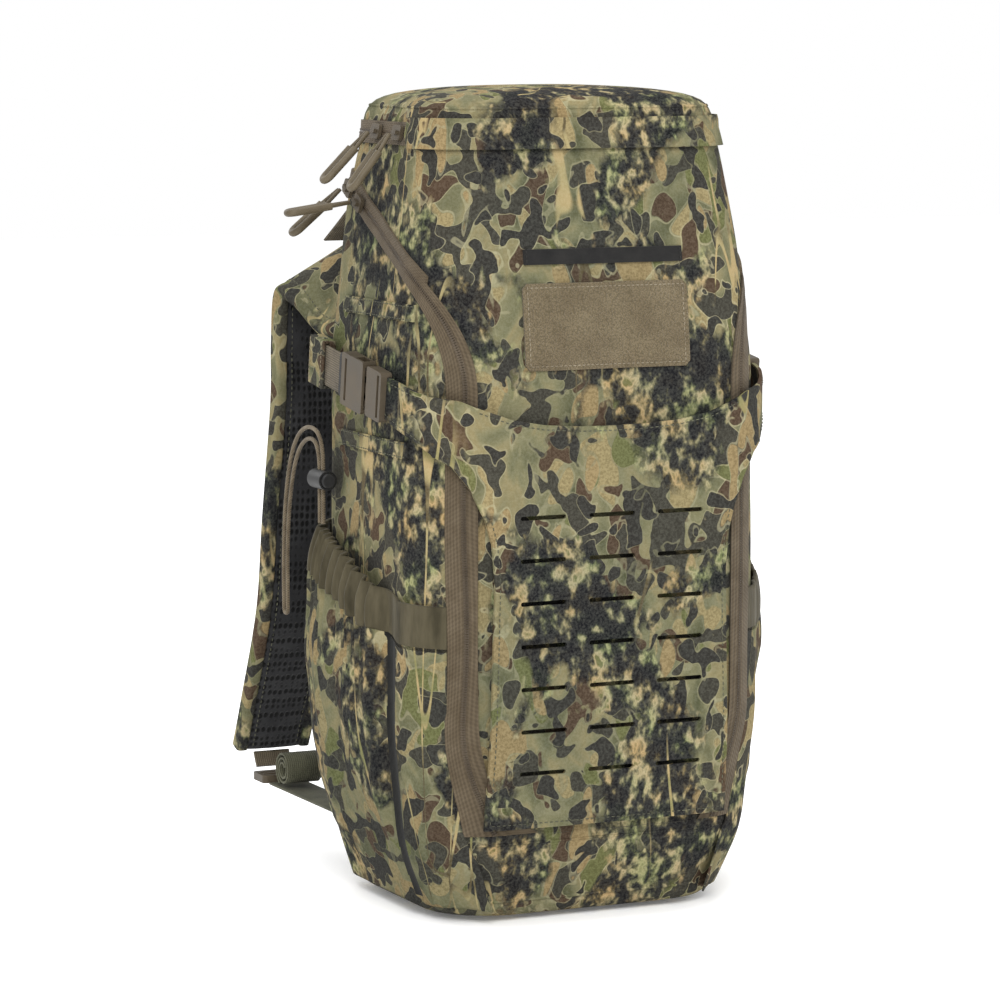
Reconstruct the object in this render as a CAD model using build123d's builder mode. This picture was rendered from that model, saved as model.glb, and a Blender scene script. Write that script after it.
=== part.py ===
"""Camouflage daypack with a clamshell front, a slotted stash flap and two shoulder straps.

Millimetres. +Z is up, -Y is the front, +Y is the wearer's side, -X is the wearer's left.
The origin is the middle of the flat base.
"""

import os
from math import cos, pi, radians, sin, tan

from build123d import *

os.makedirs("parts", exist_ok=True)

# Body of the bag
bag_height = 498
bag_half_width = 117
bag_front = 90
bag_back = 81
base_half_width = 95
base_front = 65
base_back = 75
shoulder_half_width = 109
crown_half_width = 101
crown_front = 70
front_corner_radius = 50
back_corner_radius = 28
brow_radius = 16
wall = 3.0
floor_seam_height = 22

# Zips: the main one opens the clamshell, the top one opens the lid pocket
zip_gap = 0.4
zip_tape = 7
zip_inset = 6
trim_proud = 1.6
hinge_height = 55
top_zip_drop = 28
zip_edge_half_width = 82

# Front: loop patch, label, stash flap
patch_width = 108
patch_height = 51
patch_drop = 140
label_width = 104
label_height = 9
label_drop = 99
flap_stand_off = 5.0
flap_thickness = 2.2
flap_half_width = 80
flap_foot = 60.4
flap_top_drop = 199
slot_length = 30
slot_width = 2.6
slot_pitch_x = 45
slot_pitch_z = 25.4
slot_columns = 3
slot_rows = 7

# Side buckles on 25 mm webbing
webbing = 25
webbing_thickness = 1.6
buckle_drop = 178
buckle_centre_y = -10
buckle_rise = 8
buckle_proud = 6
wing_length = 32

# Side pockets
pocket_bulge = 20
pocket_wall = 2.2
pocket_height = 230
hem_height = 27

# Harness
pad_thickness = 8
strap_thickness = 10
handle_half_width = 52
handle_height = 46

# Cord of the left pocket and its lock
cord_diameter = 2.6
cord_clearance = 0.4
lock_radius = 6
clearance = 0.4

# Heights that follow the height of the bag
foot_height = 45
belly_height = 115
taper_height = bag_height - 163
shoulder_height = bag_height - 98
crown_height = bag_height - 38
brow_height = bag_height - 10
top_zip_height = bag_height - top_zip_drop
far = 3 * max(bag_half_width, bag_front, bag_back) + bag_height

width_stations = [
    (0, base_half_width),
    (foot_height, bag_half_width - 7),
    (belly_height, bag_half_width),
    (taper_height, bag_half_width),
    (shoulder_height, shoulder_half_width),
    (crown_height, crown_half_width),
    (brow_height, crown_half_width - 5),
]
front_stations = [
    (0, base_front),
    (foot_height, bag_front - 6),
    (belly_height, bag_front),
    (taper_height, bag_front),
    (shoulder_height, bag_front - 7),
    (crown_height, crown_front),
    (brow_height, crown_front - 13),
]
back_stations = [
    (0, base_back),
    (floor_seam_height, bag_back),
    (bag_height - 68, bag_back),
    (brow_height - 8, bag_back - 11),
]


def at_height(stations, height):
    """The size at a height, between the two stations nearest to it."""
    for (low, first), (high, last) in zip(stations, stations[1:]):
        if height <= high:
            return first + (last - first) * (height - low) / (high - low)
    return stations[-1][1]


def bag_form(grow):
    """The stuffed bag, grown outward by grow: its front, side and top outlines crossed."""
    edge = [(half, height) for height, half in width_stations]
    crown = [(crown_half_width * 0.45, bag_height)]
    right = edge + crown
    left = [(-x, z) for x, z in reversed(right)]
    side = [(-y, z) for z, y in front_stations]
    side += [(-crown_front * 0.45, bag_height), (bag_back * 0.45, bag_height)]
    side += [(y, z) for z, y in reversed(back_stations)]
    with BuildPart() as form:
        with BuildSketch(Plane.XZ) as front_outline:
            with BuildLine():
                Polyline(*right, *left, close=True)
            make_face()
            brow = front_outline.vertices().filter_by(lambda v: abs(v.Y - brow_height) < 1)
            fillet(brow, brow_radius)
            if grow:
                offset(amount=grow, kind=Kind.INTERSECTION)
        extrude(amount=far, both=True)
        with BuildSketch(Plane.YZ) as side_outline:
            with BuildLine():
                Polyline(*side, close=True)
            make_face()
            brow = side_outline.vertices().filter_by(lambda v: brow_height - 9 < v.Y < brow_height + 1)
            fillet(brow, brow_radius)
            if grow:
                offset(amount=grow, kind=Kind.INTERSECTION)
        extrude(amount=far, both=True, mode=Mode.INTERSECT)
        with BuildSketch(Plane.XY.offset(-wall - 20)) as plan:
            with Locations((0, (bag_back - bag_front) / 2)):
                Rectangle(2 * bag_half_width + 2 * grow, bag_front + bag_back + 2 * grow)
            fillet(plan.vertices().group_by(Axis.Y)[0], front_corner_radius + grow)
            fillet(plan.vertices().group_by(Axis.Y)[-1], back_corner_radius + grow)
        extrude(amount=far, mode=Mode.INTERSECT)
    return form.part


zip_front_y = -(bag_front - zip_inset)
zip_corner_height = bag_height - 126
zip_bend_y = bag_back - 21
zip_rear_height = bag_height - 58
zip_slope = (zip_rear_height - zip_corner_height) / (zip_bend_y - zip_front_y)


def clamshell_zone(shrink):
    """All that opens with the front: ahead of the main zip's line and above it, less shrink."""
    with BuildPart() as zone:
        with BuildSketch(Plane.YZ):
            with BuildLine():
                zip_line = FilletPolyline(
                    (zip_front_y, hinge_height),
                    (zip_front_y, zip_corner_height),
                    (zip_bend_y, zip_rear_height),
                    (far, zip_rear_height),
                    radius=[80, 40],
                )
                Polyline(zip_line @ 1, (far, far), (-far, far), (-far, hinge_height), zip_line @ 0)
            make_face()
            offset(amount=-shrink, kind=Kind.INTERSECTION)
        extrude(amount=far, both=True)
    return zone.part


# Forms and layers that the panels are cut from
skin = bag_form(0)
with BuildPart() as shell:
    add(skin)
    add(bag_form(-wall), mode=Mode.SUBTRACT)
with BuildPart() as trim_layer:
    add(bag_form(trim_proud))
    add(skin, mode=Mode.SUBTRACT)
with BuildPart() as flap_layer:
    add(bag_form(flap_stand_off + flap_thickness))
    add(bag_form(flap_stand_off), mode=Mode.SUBTRACT)
front_zone = clamshell_zone(zip_gap)
rear_cut = clamshell_zone(-zip_gap)
with BuildPart() as front_shell:
    add(shell.part)
    add(front_zone, mode=Mode.INTERSECT)
with BuildPart() as rear_shell:
    add(shell.part)
    add(rear_cut, mode=Mode.SUBTRACT)

# Seam planes
gusset_y = 60
back_seam_y = bag_back - back_corner_radius
below_top_zip = Plane.XY.offset(top_zip_height - zip_gap)
above_top_zip = Plane.XY.offset(top_zip_height + zip_gap)
gusset_plane = Plane.XZ.offset(gusset_y)
back_seam = Plane.XZ.offset(-back_seam_y)
floor_seam = Plane.XY.offset(floor_seam_height)
sill_top = Plane.XY.offset(hinge_height)

# Root body: base, sill, sides and back
with BuildPart() as base_panel:
    add(rear_shell.part)
    split(bisect_by=floor_seam, keep=Keep.BOTTOM)
base_panel.part.label = "base_panel"
export_step(base_panel.part, "parts/base_panel.step")

with BuildPart() as front_sill:
    add(rear_shell.part)
    split(bisect_by=floor_seam, keep=Keep.TOP)
    split(bisect_by=sill_top, keep=Keep.BOTTOM)
    split(bisect_by=gusset_plane, keep=Keep.TOP)
front_sill.part.label = "front_sill"
export_step(front_sill.part, "parts/front_sill.step")

with BuildPart() as back_panel:
    add(rear_shell.part)
    split(bisect_by=floor_seam, keep=Keep.TOP)
    split(bisect_by=back_seam, keep=Keep.BOTTOM)
back_panel.part.label = "back_panel"
export_step(back_panel.part, "parts/back_panel.step")

for hand, half in (("left", Keep.BOTTOM), ("right", Keep.TOP)):
    with BuildPart() as side_panel:
        add(rear_shell.part)
        split(bisect_by=floor_seam, keep=Keep.TOP)
        split(bisect_by=back_seam, keep=Keep.TOP)
        add(front_sill.part, mode=Mode.SUBTRACT)
        split(bisect_by=Plane.YZ, keep=half)
    side_panel.part.label = f"side_panel_{hand}"
    export_step(side_panel.part, f"parts/side_panel_{hand}.step")

# Padding, stiffener and sleeve of the back
pad_half_width = min(bag_half_width - 32, crown_half_width - 16)
pad_foot = 60
pad_top = bag_height - 73
with BuildPart() as back_pad:
    with BuildSketch(Plane.XZ.offset(-bag_back)):
        with Locations((0, (pad_foot + pad_top) / 2)):
            RectangleRounded(2 * pad_half_width, pad_top - pad_foot, 18)
    extrude(amount=-pad_thickness)
    fillet(back_pad.faces().sort_by(Axis.Y)[-1].edges(), 3)
back_pad.part.label = "back_pad"
export_step(back_pad.part, "parts/back_pad.step")

sheet_thickness = 1.5
sheet_y = bag_back - wall - sheet_thickness
with BuildPart() as frame_sheet:
    with BuildSketch(Plane.XZ.offset(-sheet_y)):
        with Locations((0, (pad_foot + pad_top) / 2)):
            RectangleRounded(2 * pad_half_width, pad_top - pad_foot, 12)
    extrude(amount=-sheet_thickness)
frame_sheet.part.label = "frame_sheet"
export_step(frame_sheet.part, "parts/frame_sheet.step")

sleeve_depth = 9
sleeve_wall = 1.2
sleeve_half_width = pad_half_width - 8
sleeve_height = bag_height * 0.55
with BuildPart() as inner_sleeve:
    with BuildSketch(Plane.XZ.offset(-(sheet_y - sleeve_depth))):
        with Locations((0, pad_foot + sleeve_height / 2)):
            Rectangle(2 * sleeve_half_width, sleeve_height)
    extrude(amount=-sleeve_depth)
    with BuildSketch(Plane.XZ.offset(-(sheet_y - sleeve_depth + sleeve_wall))):
        with Locations((0, pad_foot + sleeve_wall + sleeve_height / 2)):
            Rectangle(2 * (sleeve_half_width - sleeve_wall), sleeve_height)
    extrude(amount=-sleeve_depth, mode=Mode.SUBTRACT)
inner_sleeve.part.label = "inner_sleeve"
export_step(inner_sleeve.part, "parts/inner_sleeve.step")

# Side pockets: a bulging wall with a gathered stretch hem
pocket_front = bag_front - 12
pocket_back = bag_back + 3
pocket_reach = bag_half_width + pocket_bulge
pocket_seam_x = pad_half_width + 3
hem_rear_top = [(bag_back + 10, pocket_height + 2), (46, pocket_height - 3)]
hem_front_top = [(-50, pocket_height - 35), (-pocket_front - 20, pocket_height - 36)]


def pocket_form(side, shrink):
    """The bulge of a side pocket as one block, less shrink all round, open upward and inward."""
    front_swell = (pocket_reach - 2, -38) if side > 0 else (pocket_reach - 8, -24)
    plan_points = [
        (side * (bag_half_width - 20), -pocket_front),
        (side * front_swell[0], front_swell[1]),
        (side * pocket_reach, 30),
        (side * (pocket_reach - 5), 66),
        (side * (bag_half_width - 12), pocket_back),
    ]
    profile = [
        (side * (base_half_width + 6), 8),
        (side * (pocket_reach - 18), foot_height),
        (side * (pocket_reach - 4), 105),
        (side * pocket_reach, 150),
        (side * (pocket_reach - 3), 195),
        (side * (pocket_reach - 13), pocket_height),
        (side * (pocket_reach - 13), pocket_height + 20),
    ]
    with BuildPart() as form:
        with BuildSketch(Plane.XY):
            with BuildLine():
                Polyline(*plan_points, (side * 40, pocket_back), (side * 40, -pocket_front), close=True)
            make_face()
            if shrink:
                offset(amount=-shrink, kind=Kind.INTERSECTION)
        extrude(amount=far)
        with BuildSketch(Plane.XZ):
            with BuildLine():
                Polyline(*profile, (side * 40, pocket_height + 20), (side * 40, 8), close=True)
            make_face()
            if shrink:
                offset(amount=-shrink, kind=Kind.INTERSECTION)
        extrude(amount=far, both=True, mode=Mode.INTERSECT)
    return form.part


def hem_cut(drop):
    """All above the pocket's mouth line, lowered by drop."""
    line = [(y, z - drop) for y, z in hem_rear_top + hem_front_top]
    with BuildPart() as cut:
        with BuildSketch(Plane.YZ):
            with BuildLine():
                Polyline(*line, (-far, line[-1][1]), (-far, far), (far, far), (far, line[0][1]), close=True)
            make_face()
        extrude(amount=far, both=True)
    return cut.part


above_mouth = hem_cut(0)
above_hem_seam = hem_cut(hem_height)
for hand, side in (("left", -1), ("right", 1)):
    with BuildPart() as pocket_shell:
        add(pocket_form(side, 0))
        add(pocket_form(side, pocket_wall), mode=Mode.SUBTRACT)
        add(skin, mode=Mode.SUBTRACT)
        add(above_mouth, mode=Mode.SUBTRACT)
        add(trim_layer.part, mode=Mode.SUBTRACT)
        split(bisect_by=Plane.YZ.offset(side * pocket_seam_x), keep=Keep.TOP if side > 0 else Keep.BOTTOM)
    with BuildPart() as side_pocket:
        add(pocket_shell.part)
        add(above_hem_seam, mode=Mode.SUBTRACT)
    side_pocket.part.label = f"side_pocket_{hand}"
    export_step(side_pocket.part, f"parts/side_pocket_{hand}.step")
    with BuildPart() as pocket_hem:
        add(pocket_shell.part)
        add(above_hem_seam, mode=Mode.INTERSECT)
    pocket_hem.part.label = f"pocket_hem_{hand}"
    export_step(pocket_hem.part, f"parts/pocket_hem_{hand}.step")

# Flat bands sewn along the sides, above and below the buckles
band_height = 10
band_drops = (132, 213)
with BuildPart() as side_bands:
    for drop in band_drops:
        with BuildSketch(Plane.XY.offset(bag_height - drop - band_height / 2)):
            with Locations((0, (back_seam_y - gusset_y) / 2 - 2)):
                Rectangle(2 * far, back_seam_y + gusset_y - 14)
        extrude(amount=band_height)
    add(trim_layer.part, mode=Mode.INTERSECT)
    add(clamshell_zone(-zip_tape - 1), mode=Mode.SUBTRACT)
side_bands.part.label = "side_bands"
export_step(side_bands.part, "parts/side_bands.step")

# Main zip: one tape on the bag, one on the clamshell front
with BuildPart() as main_zip_rear:
    add(trim_layer.part)
    add(clamshell_zone(-zip_tape + 1), mode=Mode.INTERSECT)
    add(rear_cut, mode=Mode.SUBTRACT)
    split(bisect_by=Plane.XY.offset(hinge_height + 1), keep=Keep.TOP)
main_zip_rear.part.label = "main_zip_rear"
export_step(main_zip_rear.part, "parts/main_zip_rear.step")

with BuildPart() as main_zip_front:
    add(trim_layer.part)
    add(front_zone, mode=Mode.INTERSECT)
    add(clamshell_zone(zip_tape), mode=Mode.SUBTRACT)
    with BuildSketch(Plane.XZ.offset(gusset_y)):
        with BuildLine():
            inner_edge = [
                (zip_edge_half_width, 0),
                (zip_edge_half_width, zip_corner_height - 47),
                (zip_edge_half_width + 8, zip_corner_height - 27),
                (zip_edge_half_width + 15, zip_corner_height - 12),
                (zip_edge_half_width + 21, zip_corner_height),
            ]
            Polyline(*inner_edge, *[(-x, z) for x, z in reversed(inner_edge)], close=True)
        make_face()
    extrude(amount=far, mode=Mode.SUBTRACT)
main_zip_front.part.label = "main_zip_front"
export_step(main_zip_front.part, "parts/main_zip_front.step")

# Clamshell front: sheet, crown band, floor of the lid pocket, organiser pocket
with BuildPart() as front_panel:
    add(front_shell.part)
    split(bisect_by=below_top_zip, keep=Keep.BOTTOM)
    split(bisect_by=gusset_plane, keep=Keep.TOP)
front_panel.part.label = "front_panel"
export_step(front_panel.part, "parts/front_panel.step")

with BuildPart() as crown_band:
    add(front_shell.part)
    split(bisect_by=below_top_zip, keep=Keep.BOTTOM)
    split(bisect_by=gusset_plane, keep=Keep.BOTTOM)
crown_band.part.label = "crown_band"
export_step(crown_band.part, "parts/crown_band.step")

pocket_floor_thickness = 1.2
with BuildPart() as lid_pocket_floor:
    add(bag_form(-wall))
    split(bisect_by=Plane.XY.offset(top_zip_height - 4), keep=Keep.BOTTOM)
    split(bisect_by=Plane.XY.offset(top_zip_height - 4 - pocket_floor_thickness), keep=Keep.TOP)
lid_pocket_floor.part.label = "lid_pocket_floor"
export_step(lid_pocket_floor.part, "parts/lid_pocket_floor.step")

organiser_depth = 9
organiser_wall = 1.2
organiser_half_width = zip_edge_half_width - 10
organiser_foot = hinge_height + 25
organiser_height = 150
organiser_back_y = -(bag_front - wall)
with BuildPart() as organiser_pocket:
    with BuildSketch(Plane.XZ.offset(-organiser_back_y)):
        with Locations((0, organiser_foot + organiser_height / 2)):
            Rectangle(2 * organiser_half_width, organiser_height)
    extrude(amount=-organiser_depth)
    with BuildSketch(Plane.XZ.offset(-organiser_back_y)):
        with Locations((0, organiser_foot + organiser_wall + organiser_height / 2)):
            Rectangle(2 * (organiser_half_width - organiser_wall), organiser_height)
    extrude(amount=-(organiser_depth - organiser_wall), mode=Mode.SUBTRACT)
    add(front_panel.part, mode=Mode.SUBTRACT)
organiser_pocket.part.label = "organiser_pocket"
export_step(organiser_pocket.part, "parts/organiser_pocket.step")

# Loop patch and woven tab on the front
with BuildPart() as loop_patch:
    with BuildSketch(Plane.XZ):
        with Locations((0, bag_height - patch_drop)):
            RectangleRounded(patch_width, patch_height, 3)
    extrude(amount=far)
    add(trim_layer.part, mode=Mode.INTERSECT)
loop_patch.part.label = "loop_patch"
export_step(loop_patch.part, "parts/loop_patch.step")

with BuildPart() as woven_tab:
    with BuildSketch(Plane.XZ):
        with Locations((0, bag_height - label_drop)):
            Rectangle(label_width, label_height)
    extrude(amount=far)
    add(trim_layer.part, mode=Mode.INTERSECT)
woven_tab.part.label = "woven_tab"
export_step(woven_tab.part, "parts/woven_tab.step")

# Lid of the top pocket and the two tapes of its zip
with BuildPart() as top_lid:
    add(shell.part)
    split(bisect_by=above_top_zip, keep=Keep.TOP)
top_lid.part.label = "top_lid"
export_step(top_lid.part, "parts/top_lid.step")

for name, low, high in (
    ("top_zip_lower", top_zip_height - zip_tape, top_zip_height - zip_gap),
    ("top_zip_upper", top_zip_height + zip_gap, top_zip_height + zip_tape),
):
    with BuildPart() as top_tape:
        add(trim_layer.part)
        split(bisect_by=Plane.XY.offset(low), keep=Keep.TOP)
        split(bisect_by=Plane.XY.offset(high), keep=Keep.BOTTOM)
        split(bisect_by=Plane.XZ.offset(-back_seam_y), keep=Keep.TOP)
    top_tape.part.label = name
    export_step(top_tape.part, f"parts/{name}.step")

# Stash flap: a slotted sheet held off the front, with a wing round each side
flap_top = bag_height - flap_top_drop
buckle_height = bag_height - buckle_drop
wing_end_y = buckle_centre_y - wing_length * cos(radians(buckle_rise))
wing_end_height = buckle_height - wing_length * sin(radians(buckle_rise))
wing_lean = webbing / 2 * sin(radians(buckle_rise))
wing_rise = webbing / 2 * cos(radians(buckle_rise))
flap_edge = [
    (0, flap_foot),
    (flap_half_width, flap_foot),
    (flap_half_width - 4, flap_top - 90),
    (flap_half_width + 2, flap_top - 53),
    (flap_half_width + 27, flap_top - 17),
    (far, flap_top - 17),
    (far, buckle_height + 30),
    (bag_half_width + 3, buckle_height + 14),
    (flap_half_width + 8, flap_top + 15),
    (44, flap_top + 2),
    (0, flap_top),
]
with BuildPart() as stash_flap:
    with BuildSketch(Plane.XZ):
        with BuildLine():
            Polyline(*flap_edge, *[(-x, z) for x, z in reversed(flap_edge[1:-1])], close=True)
        make_face()
    extrude(amount=far, both=True)
    with BuildSketch(Plane.YZ):
        with BuildLine():
            Polyline(
                (-far, flap_foot - 1),
                (zip_front_y, flap_foot - 1),
                (zip_front_y, flap_top - 28),
                (-gusset_y - 8, flap_top - 6),
                (wing_end_y + wing_lean, wing_end_height - wing_rise),
                (wing_end_y - wing_lean, wing_end_height + wing_rise),
                (-gusset_y + 5, wing_end_height + wing_rise - 3),
                (-bag_front - 3, flap_top + 16),
                (-far, flap_top + 16),
                close=True,
            )
        make_face()
    extrude(amount=far, both=True, mode=Mode.INTERSECT)
    add(flap_layer.part, mode=Mode.INTERSECT)
    slot_middle = flap_foot + 33.6 + slot_pitch_z * (slot_rows - 1) / 2
    with BuildSketch(Plane.XZ):
        with Locations((0, slot_middle)):
            with GridLocations(slot_pitch_x, slot_pitch_z, slot_columns, slot_rows):
                SlotOverall(slot_length, slot_width)
    extrude(amount=far, mode=Mode.SUBTRACT)
stash_flap.part.label = "stash_flap"
export_step(stash_flap.part, "parts/stash_flap.step")


# Side-release buckles, laid out along the strap: u runs back, v across, w outward
def buckle_plane(side):
    """The middle plane of a buckle, with its x along the strap and its z outward."""
    return Plane(
        origin=(side * (bag_half_width + buckle_proud), buckle_centre_y, buckle_height),
        x_dir=(0, cos(radians(buckle_rise)), sin(radians(buckle_rise))),
        z_dir=(side, 0, 0),
    )


def on_strap(plane, u, v, w, length, width, thickness, mode=Mode.ADD):
    """A block centred across v and w, starting at u, in a buckle's own directions."""
    with BuildSketch(plane.offset(w - thickness / 2)) as block:
        with Locations((u + length / 2, v)):
            Rectangle(length, width)
    extrude(block.sketch, amount=thickness, mode=mode)


socket_start = -6
socket_end = 26
socket_width = webbing + 7
socket_thickness = 8.4
cavity_width = webbing + 0.6
cavity_thickness = 5.2
male_end = -10.5
male_width = webbing + 5
male_thickness = 7
prong_thickness = 3.8
prong_inner = 7.5
prong_outer = 10.5
barb_reach = cavity_width / 2 + 0.6
keeper_start = 30
anchor_start = 58
anchor_length = 22
strap_end = 75

for hand, side in (("left", -1), ("right", 1)):
    plane = buckle_plane(side)
    with BuildPart() as buckle_socket:
        on_strap(plane, socket_start, 0, 0, socket_end - socket_start, socket_width, socket_thickness)
        fillet(buckle_socket.edges().filter_by(Axis.X), 2)
        on_strap(plane, socket_start, 0, 0, 20, cavity_width, cavity_thickness, Mode.SUBTRACT)
        on_strap(plane, -3.5, 0, 0, 11.5, socket_width + 2, cavity_thickness, Mode.SUBTRACT)
        on_strap(plane, 18, 0, 0, 3, webbing + 0.6, socket_thickness + 2, Mode.SUBTRACT)
        on_strap(plane, 18, 0, 0, 20, webbing, webbing_thickness, Mode.SUBTRACT)
    buckle_socket.part.label = f"buckle_socket_{hand}"
    export_step(buckle_socket.part, f"parts/buckle_socket_{hand}.step")

    with BuildPart() as buckle_tongue:
        on_strap(plane, -wing_length, 0, 0, male_end + wing_length, male_width, male_thickness)
        fillet(buckle_tongue.edges().filter_by(Axis.X), 2)
        on_strap(plane, -29, 0, 0, 3, webbing + 0.6, male_thickness + 2, Mode.SUBTRACT)
        on_strap(plane, male_end, 0, 0, 17, 6, 3.6)
    buckle_tongue.part.label = f"buckle_tongue_{hand}"
    export_step(buckle_tongue.part, f"parts/buckle_tongue_{hand}.step")

    for place, v_sign in (("upper", side), ("lower", -side)):
        prong_points = [
            (male_end + 0.8, prong_inner),
            (6, prong_inner),
            (8, prong_inner + 1.5),
            (8, cavity_width / 2 - 1),
            (6, barb_reach),
            (3, barb_reach),
            (1, prong_outer),
            (male_end + 0.8, prong_outer),
        ]
        with BuildPart() as buckle_prong:
            with BuildSketch(plane.offset(-prong_thickness / 2)):
                with BuildLine():
                    Polyline(*[(u, v_sign * v) for u, v in prong_points], close=True)
                make_face()
            extrude(amount=prong_thickness)
        buckle_prong.part.label = f"buckle_prong_{hand}_{place}"
        export_step(buckle_prong.part, f"parts/buckle_prong_{hand}_{place}.step")

    with BuildPart() as buckle_strap:
        on_strap(plane, 19, 0, 0, strap_end - 19, webbing, webbing_thickness)
    buckle_strap.part.label = f"buckle_strap_{hand}"
    export_step(buckle_strap.part, f"parts/buckle_strap_{hand}.step")

    with BuildPart() as strap_keeper:
        on_strap(plane, keeper_start, 0, 0, 5, webbing + 2.2, webbing_thickness + 2.2)
        on_strap(plane, keeper_start, 0, 0, 5, webbing, webbing_thickness, Mode.SUBTRACT)
    strap_keeper.part.label = f"strap_keeper_{hand}"
    export_step(strap_keeper.part, f"parts/strap_keeper_{hand}.step")

anchor_front = 3.2
with BuildPart() as buckle_anchors:
    for side in (-1, 1):
        plane = buckle_plane(side)
        depth = buckle_proud + anchor_front
        on_strap(plane, anchor_start, 0, anchor_front - depth / 2, anchor_length, webbing + 5, depth)
        on_strap(
            plane,
            anchor_start,
            0,
            0,
            anchor_length,
            webbing + 2 * clearance,
            webbing_thickness + 2 * clearance,
            Mode.SUBTRACT,
        )
    add(skin, mode=Mode.SUBTRACT)
buckle_anchors.part.label = "buckle_anchors"
export_step(buckle_anchors.part, "parts/buckle_anchors.step")


# Zip sliders and their cord pulls, on the left side
def skin_plane(y, height, slope):
    """A plane on the left side's skin, x along a zip that rises by slope, z outward."""
    below, above = height - 5, height + 5
    lean = (at_height(width_stations, below) - at_height(width_stations, above)) / (above - below)
    return Plane(
        origin=(-at_height(width_stations, height), y, height),
        x_dir=(lean * slope, 1, slope),
        z_dir=(-1, 0, lean),
    )


slider_length = 12
slider_width = 9
slider_base = trim_proud + 0.4
slider_thickness = 2.2
pull_stand_off = 7.6
pull_length = 44
pull_half_width = 4
sleeve_radius = 2.3
pull_cord_radius = 1.2
sleeve_start = 15


def zip_height(y):
    """The height of the main zip's sloping stretch at y."""
    return zip_corner_height + (y - zip_front_y) * zip_slope


pull_droops = {}
for name, y, height, slope, droop in (
    ("main_front", 32, zip_height(32), zip_slope, 8),
    ("main_rear", 50, zip_height(50) - 0.5, zip_slope, 40),
    ("top_rear", 19, top_zip_height, 0, 45),
    ("top_front", -13, top_zip_height, 0, 52),
):
    seat = skin_plane(y, height, slope)
    with BuildPart() as slider:
        with BuildSketch(seat.offset(slider_base)):
            RectangleRounded(slider_length, slider_width, 2)
        extrude(amount=slider_thickness)
        with BuildSketch(seat.offset(slider_base + slider_thickness)):
            Rectangle(6, 2.4)
        extrude(amount=1.8)
    slider.part.label = f"slider_{name}"
    export_step(slider.part, f"parts/slider_{name}.step")

    ring = seat.origin + seat.z_dir * pull_stand_off
    droop_angle = radians(droop)
    along = Plane(
        origin=ring,
        x_dir=(-cos(droop_angle), 0, -sin(droop_angle)),
        z_dir=(sin(droop_angle), 0, -cos(droop_angle)),
    )
    pull_droops[name] = [round(value, 2) for value in ring]
    straight_end = pull_length - pull_half_width - sleeve_radius
    with BuildPart() as pull:
        with BuildLine(along) as sleeve_path:
            Line((sleeve_start, pull_half_width), (straight_end, pull_half_width))
            ThreePointArc(
                (straight_end, pull_half_width),
                (straight_end + pull_half_width, 0),
                (straight_end, -pull_half_width),
            )
            Line((straight_end, -pull_half_width), (sleeve_start, -pull_half_width))
        with BuildSketch(Plane(sleeve_path.wires()[0] @ 0, z_dir=sleeve_path.wires()[0] % 0)):
            Circle(sleeve_radius)
        sweep(path=sleeve_path.wires()[0])
        for across in (1, -1):
            with BuildLine(along) as leg_path:
                Line((1.8, across * 1.1), (sleeve_start + 1, across * pull_half_width))
            with BuildSketch(Plane(leg_path.wires()[0] @ 0, z_dir=leg_path.wires()[0] % 0)):
                Circle(pull_cord_radius)
            sweep(path=leg_path.wires()[0])
    pull.part.label = f"pull_{name}"
    export_step(pull.part, f"parts/pull_{name}.step")
print("pull hinges", pull_droops)

# Shoulder straps: padded bands that leave the back, bow out and come down to the base
# Each station is its outer and inner edge: x, distance behind the pad, height for a 498 mm bag
strap_seat = bag_back + pad_thickness
strap_foot_height = 64
drawn_bag_height = 498
strap_stations = [
    ((-90, 1, 344), (-38, 1, 398)),
    ((-98, 28, 342), (-42, 28, 402)),
    ((-105, 57, 362), (-45, 57, 404)),
    ((-109, 74, 366), (-45, 79, 388)),
    ((-110, 76, 330), (-45, 85, 335)),
    ((-112, 72, 294), (-48, 79, 294)),
    ((-116, 78, 220), (-54, 81, 220)),
    ((-117, 87, 160), (-62, 87, 160)),
    ((-118, 112, 98), (-68, 112, 98)),
    ((-119, 126, strap_foot_height), (-70, 126, strap_foot_height)),
]


def strap_height(height):
    """A strap's height when the bag is taller or shorter: its foot stays and its top follows."""
    stretch = (bag_height - strap_foot_height) / (drawn_bag_height - strap_foot_height)
    return strap_foot_height + (height - strap_foot_height) * stretch


def strap_section(side, index):
    """The plane across a strap at one station, and the strap's width there."""
    edges = [
        [Vector(-side * x, strap_seat + behind, strap_height(z)) for x, behind, z in station]
        for station in strap_stations
    ]
    middles = [(outer + inner) * 0.5 for outer, inner in edges]
    across = edges[index][1] - edges[index][0]
    heading = middles[min(index + 1, len(edges) - 1)] - middles[max(index - 1, 0)]
    heading = heading - across * (heading.dot(across) / across.dot(across))
    return Plane(origin=middles[index], x_dir=across, z_dir=heading), across.length


for hand, side in (("left", -1), ("right", 1)):
    with BuildPart() as shoulder_strap:
        for index in range(len(strap_stations)):
            section, width = strap_section(side, index)
            with BuildSketch(section):
                Rectangle(width, strap_thickness)
        loft(ruled=True)
    shoulder_strap.part.label = f"shoulder_strap_{hand}"
    export_step(shoulder_strap.part, f"parts/shoulder_strap_{hand}.step")

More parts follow.
